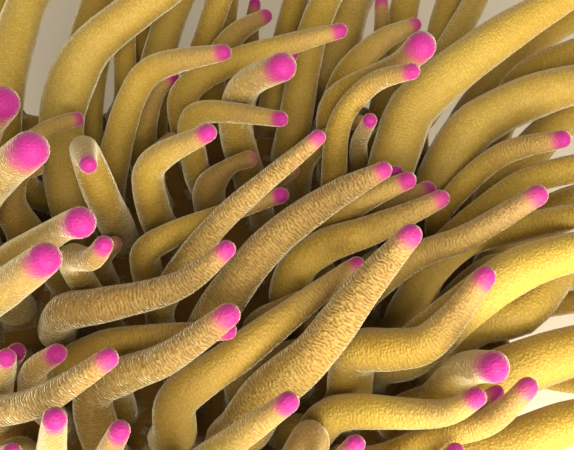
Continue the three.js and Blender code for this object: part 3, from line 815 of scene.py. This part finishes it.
# ---- Foot, column and disc ----
@dataclass
class Trunk:
    """The foot, the trumpet column and the dished disc, turned as one closed shell."""

    foot_radius: float = 58 * MM
    foot_height: float = 9 * MM
    waist_radius: float = 43 * MM
    waist_height: float = 34 * MM
    under_disc: float = 8.3 * MM
    lip_length: float = 22 * MM
    lip_width: float = 12 * MM
    turn_steps: int = 120
    line_depth: float = 0.35 * MM
    fold_depth: float = 0.7 * MM

    SLIT_RADIUS = 18 * MM  # outside this the mouth's field stays round
    SLIT_EASE = 7 * MM  # further in by this it is squeezed to a slit
    THROAT_RADIUS = 7.6 * MM  # inside this it is squeezed more
    THROAT_EASE = 4 * MM
    THROAT_SQUEEZE = 0.45
    LIP_FIELD = 12 * MM
    LIP_RIDGE = 9 * MM  # radius of the lips' crest
    LIP_EASE = 3 * MM
    LIP_LINES = 22
    UPPER_PART = 25 * MM  # higher above the waist than this, only disc and mouth are near the axis
    WALL_RADIUS = 30 * MM
    WALL_EDGES = (0.5 * MM, 3 * MM)  # left plain above the floor and below the disc's edge
    WALL_LINES = 40
    WAVE_PITCH = 60.0
    WAIST_EASE = 1.6  # how the foot draws in to the waist
    WAIST_STEPS = 7
    FLARE_BEND = 0.55  # how much of the flare to the disc comes late
    FLARE_RISE = 0.85
    FLARE_STEPS = 14
    DISC_STEPS = (95.5, 21.0, -2.6)  # radii on the disc in millimetres: from, to and step

    # Turned details, as steps outwards and up in millimetres: from the foot's edge on the floor,
    # from the disc's edge, and from the middle of the disc.
    FOOT_RIM = ((-0.4, 0.25), (0.9, 1.5), (0.6, 3.0), (-1.6, 5.2), (-4.6, 8.2))
    DISC_RIM = ((0.0, -5.0), (-0.1, -3.4), (-1.0, -1.9), (-2.4, -1.0))
    MOUTH = (
        (18.5, 0.7), (15.5, 1.1), (13.0, 1.6), (11.4, 2.2), (10.9, 3.4), (10.6, 4.8), (9.9, 5.7),
        (8.9, 6.1), (7.6, 5.9), (6.4, 5.2), (5.4, 4.0), (4.6, 2.4), (3.6, 1.6), (0.0, 1.5),
    )

    def outline(self) -> list[tuple[float, float]]:
        """Radius and height of the shell, from the middle of the foot round to the mouth.

        Returns:
            The points of the outline.
        """
        foot = self.foot_radius
        points = [(foot * share, 0.0) for share in (0.0, 0.25, 0.5, 0.75, 0.93)]
        points += [(foot + out * MM, up * MM) for out, up in self.FOOT_RIM]
        low = (foot - 5.2 * MM, self.foot_height + 0.6 * MM)
        for share in np.linspace(0.12, 1.0, self.WAIST_STEPS):
            ease = 1 - (1 - share) ** self.WAIST_EASE
            radius = low[0] + (self.waist_radius - low[0]) * ease
            points.append((radius, low[1] + (self.waist_height - low[1]) * share))
        rim = disc_height(DISC_RADIUS)
        top = rim - self.under_disc
        for share in np.linspace(0.06, 1.0, self.FLARE_STEPS):
            spread = share * share * self.FLARE_BEND + share * (1 - self.FLARE_BEND)
            radius = self.waist_radius + (DISC_RADIUS - self.waist_radius) * spread
            height = self.waist_height + (top - self.waist_height) * share**self.FLARE_RISE
            points.append((radius - 0.4 * MM, height))
        points += [(DISC_RADIUS + out * MM, rim + up * MM) for out, up in self.DISC_RIM]
        points += [(radius * MM, disc_height(radius * MM)) for radius in np.arange(*self.DISC_STEPS)]
        points += [(out * MM, disc_height(0.0) + up * MM) for out, up in self.MOUTH]
        return points

    def build(self) -> Piece:
        """Draws the outline, spins it round the axis and shapes the lips.

        Returns:
            The closed shell.
        """
        points = self.outline()
        deselect_all()
        bpy.ops.mesh.primitive_plane_add(size=0.01)
        shell = bpy.context.object
        shell.name = "trunk_shell"
        bpy.ops.object.mode_set(mode="EDIT")
        bpy.ops.mesh.select_all(action="SELECT")
        bpy.ops.mesh.select_mode(type="VERT")
        bpy.ops.mesh.merge(type="CENTER")
        mesh = bmesh.from_edit_mesh(shell.data)
        for corner in mesh.verts:
            corner.select_set(True)
        mesh.select_flush(True)
        bmesh.update_edit_mesh(shell.data)
        for (r0, h0), (r1, h1) in zip(points, points[1:]):
            bpy.ops.mesh.extrude_region_move(TRANSFORM_OT_translate={"value": (r1 - r0, 0.0, h1 - h0)})
        bpy.ops.mesh.select_all(action="SELECT")
        bpy.ops.mesh.spin(steps=self.turn_steps, angle=2 * math.pi, center=(0, 0, 0), axis=(0, 0, 1))
        bpy.ops.mesh.select_all(action="SELECT")
        bpy.ops.mesh.remove_doubles(threshold=1e-5)
        bpy.ops.mesh.normals_make_consistent(inside=False)
        bpy.ops.object.mode_set(mode="OBJECT")
        self._shape(shell)
        return shell

    def _shape(self, shell: Piece) -> None:
        """Narrows the lips to a slit, and gives the column its upright lines and waves.

        Args:
            shell: the turned shell.
        """
        places = corners_of(shell.data)
        radius = np.hypot(places[:, 0], places[:, 1])
        angle = np.arctan2(places[:, 1], places[:, 0])
        height = places[:, 2].copy()

        narrow = self.lip_width / self.lip_length
        blend = np.clip((self.SLIT_RADIUS - radius) / self.SLIT_EASE, 0.0, 1.0)
        inner = np.clip((self.THROAT_RADIUS - radius) / self.THROAT_EASE, 0.0, 1.0)
        squeeze = 1 - blend * (1 - narrow) * (1 + self.THROAT_SQUEEZE * inner)
        above = height > self.waist_height + self.UPPER_PART
        places[above, 1] *= squeeze[above]

        lips = (radius < self.LIP_FIELD) & (height > self.waist_height)
        on_ridge = np.clip(1 - abs(radius - self.LIP_RIDGE) / self.LIP_EASE, 0.0, 1.0)
        places[lips, 2] += (self.line_depth * np.sin(angle * self.LIP_LINES) * on_ridge)[lips]

        low, high = self.WALL_EDGES
        wall = (height > low) & (height < disc_height(DISC_RADIUS) - high) & (radius > self.WALL_RADIUS)
        lines = self.line_depth * np.sin(angle * self.WALL_LINES) ** 2
        waves = np.array([noise.noise(Vector(place * self.WAVE_PITCH)) for place in places])
        waves *= self.fold_depth
        inward = np.where(wall, lines + np.abs(waves), 0.0)
        places[:, :2] *= ((radius - inward) / np.maximum(radius, 1e-6))[:, None]
        set_corners(shell.data, places)

    def marks(self, shell: Piece) -> Marks:
        """What the shell's points know.

        Args:
            shell: the closed shell.

        Returns:
            Values in step with its vertices.
        """
        places = corners_of(shell.data)
        count = len(places)
        return Marks(
            places=places,
            straight=places.copy(),
            tip_gap=np.full(count, 0.2),
            tip_share=np.full(count, 50.0),
            folds=np.full(count, 0.25),
            tone=np.zeros(count),
            trunk=np.ones(count),
        )


# ---- The skin ----
class Skin:
    """One closed skin over the foot, column, disc and tentacles."""

    SINGLE = (Mark.TIP_GAP, Mark.TIP_SHARE, Mark.FOLDS, Mark.TONE, Mark.TRUNK)
    WELD = 2e-5
    BARE_FIELD = 24 * MM  # radius within which no tentacle grows
    FOOT_BLEND = 2.5 * MM  # how high a tentacle's foot still has some of the disc's colour
    # Painted shade: points that lie deep under the tops of the tentacles round them are painted darker.
    CELL = 5 * MM  # the plan is looked over in squares of this size
    CELLS_ROUND = 2  # how many squares away a top still counts for the painted shade
    CORNER_CUT = 2.45  # squares further off than this, slantwise, are left out
    SHADE_PAINT_START = 7 * MM  # how deep under the tops the painted shade starts
    SHADE_PAINT_FULL = 48 * MM  # and where it is full

    def __init__(self, trunk: Piece, crown: list[Piece], marks: list[Marks]) -> None:
        """Joins the tentacles to the trunk, bunch by bunch.

        Args:
            trunk: the turned shell.
            crown: the bunches of tentacles.
            marks: what the points of both know.
        """
        self.marks = marks
        for bunch in crown:
            take_up(trunk)
            union = trunk.modifiers.new("grown_together", "BOOLEAN")
            union.operation = "UNION"
            union.solver = "MANIFOLD"
            union.object = bunch
            bpy.ops.object.modifier_apply(modifier=union.name)
            bpy.data.objects.remove(bunch)
        self.piece = trunk
        self.piece.name = "skin"
        self._clean()
        self._write_marks()

    def _clean(self) -> None:
        """Welds stray corners and shades the skin smooth."""
        take_up(self.piece)
        bpy.ops.object.mode_set(mode="EDIT")
        bpy.ops.mesh.select_all(action="SELECT")
        bpy.ops.mesh.remove_doubles(threshold=self.WELD)
        bpy.ops.mesh.quads_convert_to_tris()
        bpy.ops.object.mode_set(mode="OBJECT")
        bpy.ops.object.shade_smooth()

    def _write_marks(self) -> None:
        """Gives each point of the skin what the nearest point of its makings knew."""
        names = ("places", "straight", *(mark.value for mark in self.SINGLE))
        known = {name: np.concatenate([getattr(one, name) for one in self.marks]) for name in names}
        tree = kdtree.KDTree(len(known["places"]))
        for i, place in enumerate(known["places"]):
            tree.insert(place, i)
        tree.balance()
        mesh = self.piece.data
        corners = corners_of(mesh)
        nearest = np.array([tree.find(place)[1] for place in corners])
        straight = mesh.attributes.new(Mark.STRAIGHT.value, "FLOAT_VECTOR", "POINT")
        straight.data.foreach_set("vector", known["straight"][nearest].ravel())
        values = {mark: known[mark.value][nearest] for mark in self.SINGLE}
        values[Mark.TRUNK] = self._trunk_share(corners, values[Mark.TRUNK])
        values[Mark.SHELTER] = self._depth_for_painted_shade(corners)
        for mark, row in values.items():
            layer = mesh.attributes.new(mark.value, "FLOAT", "POINT")
            layer.data.foreach_set("value", row)

    def _trunk_share(self, corners: np.ndarray, nearest: np.ndarray) -> np.ndarray:
        """How far each point belongs to the trunk, easing off just above the disc.

        Args:
            corners: the skin's points.
            nearest: 1 where the closest point of the makings was the trunk's.

        Returns:
            A value for each point, 1 on the trunk.
        """
        radius = np.hypot(corners[:, 0], corners[:, 1])
        height = corners[:, 2] - disc_height(radius)
        on_disc = (radius > self.BARE_FIELD) & (radius < DISC_RADIUS - 1 * MM) & (height > -1 * MM)
        return np.where(on_disc, np.clip(1.0 - height / self.FOOT_BLEND, 0.0, 1.0), nearest)

    def _depth_for_painted_shade(self, corners: np.ndarray) -> np.ndarray:
        """How deep each point lies under the tops of the tentacles round it, which sets its painted shade.

        Args:
            corners: the skin's points.

        Returns:
            A value for each, from 0 in the open to 1 where the painted shade is full.
        """
        margin = 2 * self.CELLS_ROUND
        low = corners[:, :2].min(axis=0) - margin * self.CELL
        cells = ((corners[:, :2] - low) / self.CELL).astype(int)
        tops = np.zeros(cells.max(axis=0) + margin + 1)
        np.maximum.at(tops, (cells[:, 0], cells[:, 1]), corners[:, 2])
        steps = range(-self.CELLS_ROUND, self.CELLS_ROUND + 1)
        shifts = [(i, j) for i, j in itertools.product(steps, steps) if math.hypot(i, j) < self.CORNER_CUT]
        for blend in (np.max, np.mean):
            tops = blend([np.roll(tops, shift, axis=(0, 1)) for shift in shifts], axis=0)
        depth = tops[cells[:, 0], cells[:, 1]] - corners[:, 2]
        return np.clip((depth - self.SHADE_PAINT_START) / (self.SHADE_PAINT_FULL - self.SHADE_PAINT_START), 0.0, 1.0)


# ---- Shader effects that the finishes share ----
class NodeBoard:
    """A short hand for laying out shader nodes."""

    def __init__(self, tree: bpy.types.NodeTree) -> None:
        """Keeps the tree."""
        self.tree = tree

    def add(self, kind: str, **settings: object) -> bpy.types.Node:
        """Adds a node.

        Args:
            kind: the node's type name.
            settings: properties to set on it.

        Returns:
            The node.
        """
        node = self.tree.nodes.new(kind)
        for name, value in settings.items():
            setattr(node, name, value)
        return node

    def join(self, source: Socket, target: Socket) -> None:
        """Links two sockets."""
        self.tree.links.new(source, target)

    def feed(self, socket: Socket, value: object) -> None:
        """Links a socket to a source, or sets its value.

        Args:
            socket: the input to fill.
            value: a socket or a plain value.
        """
        if isinstance(value, Socket):
            self.join(value, socket)
        else:
            socket.default_value = value

    def math(self, operation: str, *values: object) -> Socket:
        """A Math node's result.

        Args:
            operation: what it does.
            values: sockets or numbers.

        Returns:
            The result's socket.
        """
        node = self.add("ShaderNodeMath", operation=operation)
        for socket, value in zip(node.inputs, values):
            self.feed(socket, value)
        return node.outputs[0]

    def mix(self, share: object, first: object, second: object) -> Socket:
        """A colour mixed from two.

        Args:
            share: how much of the second.
            first: a colour or its socket.
            second: a colour or its socket.

        Returns:
            The colour's socket.
        """
        node = self.add("ShaderNodeMix", data_type="RGBA")
        self.feed(node.inputs[0], share)
        for socket, value in ((node.inputs[6], first), (node.inputs[7], second)):
            self.feed(socket, value if isinstance(value, Socket) else (*value, 1.0))
        return node.outputs[2]

    def range(
        self, value: object, low: float, high: float, to_low: float = 0.0, to_high: float = 1.0
    ) -> Socket:
        """A value moved smoothly from one range to another.

        Args:
            value: the socket to read.
            low: where the first range starts.
            high: where it ends.
            to_low: where the second range starts.
            to_high: where it ends.

        Returns:
            The result's socket.
        """
        node = self.add("ShaderNodeMapRange", interpolation_type="SMOOTHSTEP")
        limits = {"From Min": low, "From Max": high, "To Min": to_low, "To Max": to_high}
        for name, setting in {"Value": value, **limits}.items():
            self.feed(node.inputs[name], setting)
        return node.outputs["Result"]

    def texture(self, kind: str, place: Socket, **settings: float) -> bpy.types.Node:
        """A texture laid out over a place.

        Args:
            kind: the node's type name.
            place: where the texture is looked up.
            settings: values of its sockets, by name.

        Returns:
            The texture's node.
        """
        node = self.add(kind)
        self.join(place, node.inputs["Vector"])
        for name, value in settings.items():
            node.inputs[name].default_value = value
        return node


class GroupBoard(NodeBoard):
    """A board on which a node group is laid out, between its source and its target."""

    def __init__(self, name: str, inputs: dict[str, str], outputs: dict[str, str]) -> None:
        """Starts the group.

        Args:
            name: the group's name.
            inputs: the kinds of its inputs, by name.
            outputs: the kinds of its outputs, by name.
        """
        super().__init__(bpy.data.node_groups.new(name, "ShaderNodeTree"))
        for way, sockets in (("INPUT", inputs), ("OUTPUT", outputs)):
            for label, kind in sockets.items():
                self.tree.interface.new_socket(label, in_out=way, socket_type=f"NodeSocket{kind}")
        self.source = self.add("NodeGroupInput").outputs
        self.target = self.add("NodeGroupOutput").inputs


class FleshEffects:
    """The node groups that a soft wet skin is finished with."""

    FOLD_GRAIN = (620.0, 620.0, 1500.0)  # how fine the breaks in the folds are, along X, Y and Z
    ORANGE = (1.5, 3.0, 0.5, 0.0)  # from and to, in tip radii, and the shares there
    PINK = (1.2, 2.1, 1.0, 0.0)
    MAGENTA = (0.5, 1.5, 1.0, 0.0)
    FLUSH_WANDER = 0.9

    def __init__(self) -> None:
        """Builds each group once."""
        self.cross_folds = self._cross_folds()
        self.pebbles = self._pebbles()
        self.flush = self._flush()

    def _cross_folds(self) -> bpy.types.NodeTree:
        """Fine wrinkles that run across a tentacle, wander, and break up.

        Returns:
            The node group.
        """
        inputs = {"Place": "Vector", "Spacing": "Float", "Wander": "Float"}
        board = GroupBoard("cross_folds", inputs, {"Height": "Float"})
        place = board.source["Place"]
        apart = board.add("ShaderNodeSeparateXYZ")
        board.join(place, apart.inputs[0])
        drift = board.texture("ShaderNodeTexNoise", place, Scale=260.0, Detail=1.0).outputs["Fac"]
        turns = board.math("DIVIDE", apart.outputs["Z"], board.source["Spacing"])
        sway = board.math("MULTIPLY", board.math("SUBTRACT", drift, 0.5), board.source["Wander"])
        phase = board.math("MULTIPLY", board.math("ADD", turns, sway), 2 * math.pi)
        ridges = board.math("MULTIPLY_ADD", board.math("SINE", phase), 0.5, 0.5)
        stretched = board.add("ShaderNodeVectorMath", operation="MULTIPLY")
        board.join(place, stretched.inputs[0])
        stretched.inputs[1].default_value = self.FOLD_GRAIN
        grain = board.texture("ShaderNodeTexNoise", stretched.outputs[0], Scale=1.0, Detail=1.0)
        broken = board.range(grain.outputs["Fac"], 0.32, 0.68)
        height = board.math("MULTIPLY", board.math("ADD", ridges, broken), 0.5)
        board.join(height, board.target["Height"])
        return board.tree

    def _pebbles(self) -> bpy.types.NodeTree:
        """A close grain of tiny rounded bumps.

        Returns:
            The node group.
        """
        board = GroupBoard("pebble_grain", {"Place": "Vector", "Scale": "Float"}, {"Height": "Float"})
        cells = board.texture("ShaderNodeTexVoronoi", board.source["Place"])
        board.join(board.source["Scale"], cells.inputs["Scale"])
        board.join(board.range(cells.outputs["Distance"], 0.1, 0.7, 1.0, 0.0), board.target["Height"])
        return board.tree

    def _flush(self) -> bpy.types.NodeTree:
        """The flush of the tips: magenta, then pink, then orange, fading into the flesh.

        Returns:
            The node group.
        """
        inputs = {"Tip Share": "Float", "Wander": "Float"}
        inputs |= {name: "Color" for name in ("Flesh", "Orange", "Pink", "Magenta")}
        board = GroupBoard("tip_flush", inputs, {"Color": "Color"})
        wander = board.math("MULTIPLY", board.source["Wander"], self.FLUSH_WANDER)
        gap = board.math("ADD", board.source["Tip Share"], wander)
        colour = board.source["Flesh"]
        for name, limits in (("Orange", self.ORANGE), ("Pink", self.PINK), ("Magenta", self.MAGENTA)):
            colour = board.mix(board.range(gap, *limits), colour, board.source[name])
        board.join(colour, board.target["Color"])
        return board.tree


Knowledge = dict[Mark, Socket]
Limits = tuple[float, float, float, float]  # from and to of what is read, and the results there


@dataclass(frozen=True)
class FleshFinish:
    """Colours and textures of the living skin."""

    tan: Colour = (0.41, 0.262, 0.024)
    stem: Colour = (0.47, 0.335, 0.066)
    yellow: Colour = (0.56, 0.41, 0.066)
    mauve: Colour = (0.27, 0.170, 0.082)
    folded: Colour = (0.28, 0.160, 0.018)
    # painted shade for the wrinkles' valleys and the grain's pits
    painted_crease_shade: Colour = (0.15, 0.068, 0.010)
    # painted highlight for the wrinkles' crests
    painted_crest_highlight: Colour = (0.70, 0.58, 0.28)
    # painted shade deep among the tentacles; also the disc's darker colour, which is partly painted shade
    painted_shade_and_disc_brown: Colour = (0.17, 0.085, 0.012)
    column: Colour = (0.55, 0.36, 0.16)
    magenta: Colour = (0.30, 0.011, 0.150)
    pink: Colour = (0.35, 0.045, 0.125)
    orange: Colour = (0.36, 0.150, 0.075)
    sheen_tint: Colour = (1.0, 0.90, 0.60)
    sheen: float = 0.9
    sheen_roughness: float = 0.36
    roughness: float = 0.6
    specular: float = 0.2
    patch_scale: float = 90.0
    wrinkle_spacing: float = 1.1 * MM
    wrinkle_wander: float = 3.0
    pebble_scale: float = 1100.0
    pebble_share: float = 0.3
    relief_strength: float = 0.9
    relief_height: float = 0.45 * MM
    stem_share: Limits = (0.035, 0.10, 0.0, 0.6)  # how much of the colour, by the distance from the tip
    mauve_share: Limits = (0.012, 0.036, 0.55, 0.0)
    yellow_share: Limits = (0.35, 0.75, 0.0, 0.3)  # by the patches
    folded_share: Limits = (0.1, 1.0, 0.0, 0.7)  # by how far the flesh is drawn up
    # how much painted shade the wrinkles' valleys get, by how far the flesh is drawn up
    painted_crease_shade_share: Limits = (0.1, 1.0, 0.18, 0.95)
    # how much painted highlight the wrinkles' crests get, by how far the flesh is drawn up
    painted_crest_highlight_share: Limits = (0.1, 1.0, 0.03, 0.20)
    painted_shade_share: Limits = (0.1, 1.0, 0.0, 0.38)  # of the painted shade, by the depth under the tentacles' tops
    disc_share: Limits = (64.5 * MM, 68 * MM, 0.0, 1.0)  # of the disc's dark colour, partly its own brown and partly painted shade, by the height
    folded_relief: Limits = (0.05, 1.0, 0.25, 1.0)
    tip_relief: Limits = (0.004, 0.014, 0.15, 1.0)

    def _flesh(self, board: NodeBoard, know: Knowledge, heights: tuple[Socket, Socket, Socket]) -> Socket:
        """The colour of a tentacle's flesh before its tip is flushed.

        Args:
            board: the material's board.
            know: what the skin's points know.
            heights: of the patches, the wrinkles and the grain.

        Returns:
            The colour's socket.
        """
        gap, folds, tone = know[Mark.TIP_GAP], know[Mark.FOLDS], know[Mark.TONE]
        patch, ridge, pebble = heights
        valley = board.math("SUBTRACT", 1.0, ridge)
        pit = board.math("SUBTRACT", 1.0, pebble)
        steps = (
            (board.range(tone, -1.0, 0.0, 1.0, 0.0), self.mauve),
            (board.range(tone, 0.0, 1.0), self.yellow),
            (board.range(gap, *self.stem_share), self.stem),
            (board.range(gap, *self.mauve_share), self.mauve),
            (board.range(patch, *self.yellow_share), self.yellow),
            (board.range(folds, *self.folded_share), self.folded),
            # painted shade in the wrinkles' valleys
            (board.math("MULTIPLY", valley, board.range(folds, *self.painted_crease_shade_share)), self.painted_crease_shade),
            # painted highlight on the wrinkles' crests
            (board.math("MULTIPLY", ridge, board.range(folds, *self.painted_crest_highlight_share)), self.painted_crest_highlight),
            # painted shade in the grain's pits
            (board.math("MULTIPLY", pit, self.pebble_share), self.painted_crease_shade),
            # painted shade: the deeper a point lies under the tentacles' tops, the darker
            (board.range(know[Mark.SHELTER], *self.painted_shade_share), self.painted_shade_and_disc_brown),
        )
        colour = self.tan
        for share, second in steps:
            colour = board.mix(share, colour, second)
        return colour

    def _hide(self, board: NodeBoard) -> Socket:
        """The colour of the foot, the column and the disc, which is the darker of them: partly its own
        darker brown, partly painted shade of the gaps among the tentacles.

        Args:
            board: the material's board.

        Returns:
            The colour's socket.
        """
        apart = board.add("ShaderNodeSeparateXYZ")
        board.join(board.add("ShaderNodeTexCoord").outputs["Object"], apart.inputs[0])
        # the disc is painted dark: its own browner colour and painted shade of the gaps
        return board.mix(board.range(apart.outputs["Z"], *self.disc_share), self.column, self.painted_shade_and_disc_brown)

    def _relief(self, board: NodeBoard, know: Knowledge, ridge: Socket, pebble: Socket) -> Socket:
        """The bumps of wrinkles and grain, with the wrinkles fading out on the tips.

        Args:
            board: the material's board.
            know: what the skin's points know.
            ridge: the height of the wrinkles.
            pebble: the height of the grain.

        Returns:
            The bumped normal's socket.
        """
        relief = board.math("MULTIPLY", ridge, board.range(know[Mark.FOLDS], *self.folded_relief))
        relief = board.math("MULTIPLY", relief, board.range(know[Mark.TIP_GAP], *self.tip_relief))
        bump = board.add("ShaderNodeBump")
        bump.inputs["Strength"].default_value = self.relief_strength
        bump.inputs["Distance"].default_value = self.relief_height
        grain = board.math("MULTIPLY", pebble, self.pebble_share)
        board.join(board.math("ADD", relief, grain), bump.inputs["Height"])
        return bump.outputs["Normal"]

    def dress(self, piece: Piece, effects: FleshEffects) -> None:
        """Gives a piece this finish.

        Args:
            piece: the skin.
            effects: the node groups.
        """
        material = bpy.data.materials.new("living_flesh")
        material.use_nodes = True
        board = NodeBoard(material.node_tree)
        nodes = {mark: board.add("ShaderNodeAttribute", attribute_name=mark.value) for mark in Mark}
        know = {mark: node.outputs["Fac"] for mark, node in nodes.items()}
        place = nodes[Mark.STRAIGHT].outputs["Vector"]
        patch = board.texture("ShaderNodeTexNoise", place, Scale=self.patch_scale).outputs["Fac"]
        wrinkles = {"Place": place, "Spacing": self.wrinkle_spacing, "Wander": self.wrinkle_wander}
        ridge = self._effect(board, effects.cross_folds, wrinkles)
        pebble = self._effect(board, effects.pebbles, {"Place": place, "Scale": self.pebble_scale})
        colour = self._flesh(board, know, (patch, ridge, pebble))
        flush = {
            "Tip Share": know[Mark.TIP_SHARE],
            "Wander": board.math("SUBTRACT", patch, 0.5),
            "Flesh": board.mix(know[Mark.TRUNK], colour, self._hide(board)),
            "Orange": (*self.orange, 1.0),
            "Pink": (*self.pink, 1.0),
            "Magenta": (*self.magenta, 1.0),
        }
        settings = {
            "Base Color": self._effect(board, effects.flush, flush),
            "Normal": self._relief(board, know, ridge, pebble),
            "Roughness": self.roughness,
            "Specular IOR Level": self.specular,
            "Sheen Weight": self.sheen,
            "Sheen Roughness": self.sheen_roughness,
            "Sheen Tint": (*self.sheen_tint, 1.0),
        }
        shader = material.node_tree.nodes["Principled BSDF"]
        for name, value in settings.items():
            board.feed(shader.inputs[name], value)
        piece.data.materials.clear()
        piece.data.materials.append(material)

    @staticmethod
    def _effect(board: NodeBoard, group: bpy.types.NodeTree, settings: dict[str, object]) -> Socket:
        """Places one of the shared effects.

        Args:
            board: the material's board.
            group: the effect's node group.
            settings: sockets or values for its inputs, by name.

        Returns:
            The effect's result.
        """
        node = board.add("ShaderNodeGroup", node_tree=group)
        for name, value in settings.items():
            board.feed(node.inputs[name], value)
        return node.outputs[0]


# ---- The studio ----
@dataclass(frozen=True)
class Lamp:
    """A square lamp: its name, where it hangs, its side and its power."""

    name: str
    place: tuple[float, float, float]
    side: float
    power: float


@dataclass(frozen=True)
class Studio:
    """A plain pale floor and soft light."""

    floor_side: float = 4.0
    floor_drop: float = 0.2 * MM  # how far under the foot the floor lies
    floor_colour: Colour = (0.60, 0.53, 0.42)
    floor_roughness: float = 0.8
    lamps: tuple[Lamp, ...] = (
        Lamp("key_lamp", (0.25, -0.46, 0.20), 0.30, 6.6),
        Lamp("fill_lamp", (0.02, -0.50, 0.46), 0.40, 5.0),
    )
    lamp_colour: Colour = (1.0, 0.95, 0.84)
    lamp_aim: tuple[float, float, float] = (0.02, 0.0, 0.10)
    sky_colour: Colour = (1.0, 0.93, 0.80)
    sky_strength: float = 0.60

    def build(self) -> None:
        """Lays the floor, hangs the lamps and sets the world's light."""
        self._lay_floor()
        for lamp in self.lamps:
            self._hang(lamp)
        world = bpy.data.worlds.new("studio_world")
        world.use_nodes = True
        sky = world.node_tree.nodes["Background"]
        sky.inputs["Color"].default_value = (*self.sky_colour, 1.0)
        sky.inputs["Strength"].default_value = self.sky_strength
        bpy.context.scene.world = world
        bpy.context.scene.view_settings.view_transform = "Standard"

    def _lay_floor(self) -> None:
        """Lays the floor just under the foot."""
        deselect_all()
        bpy.ops.mesh.primitive_plane_add(size=self.floor_side, location=(0, 0, -self.floor_drop))
        floor = bpy.context.object
        floor.name = "studio_floor"
        pale = bpy.data.materials.new("pale_floor")
        pale.use_nodes = True
        surface = pale.node_tree.nodes["Principled BSDF"]
        surface.inputs["Base Color"].default_value = (*self.floor_colour, 1.0)
        surface.inputs["Roughness"].default_value = self.floor_roughness
        floor.data.materials.append(pale)

    def _hang(self, plan: Lamp) -> None:
        """Hangs a lamp so that it faces the crown of tentacles.

        Args:
            plan: the lamp.
        """
        lamp = bpy.data.lights.new(plan.name, "AREA")
        lamp.size = plan.side
        lamp.energy = plan.power
        lamp.color = self.lamp_colour
        holder = bpy.data.objects.new(plan.name, lamp)
        bpy.context.scene.collection.objects.link(holder)
        holder.location = plan.place
        aim = Vector(self.lamp_aim) - Vector(plan.place)
        holder.rotation_euler = aim.to_track_quat("-Z", "Y").to_euler()


def main() -> None:
    """Builds the anemone's skin and the studio round it."""
    logging.basicConfig(level=logging.INFO, format="%(message)s")
    VIEW.set_up_camera()
    courses = CourseReader(frame["nodes"]).read()
    log.info("read the courses of %d tentacles", len(courses))
    crown, marks = Crown(courses).build()
    log.info("crown: %d bunches of tentacles", len(crown))
    trunk_plan = Trunk()
    trunk = trunk_plan.build()
    log.info("trunk: %d faces", len(trunk.data.polygons))
    marks.append(trunk_plan.marks(trunk))
    skin = Skin(trunk, crown, marks)
    FleshFinish().dress(skin.piece, FleshEffects())
    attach(skin.piece, "root")
    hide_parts(*sorted(frame["nodes"]))
    log.info("skin: %d faces", len(skin.piece.data.polygons))
    Studio().build()


if __name__ == "__main__":
    main()
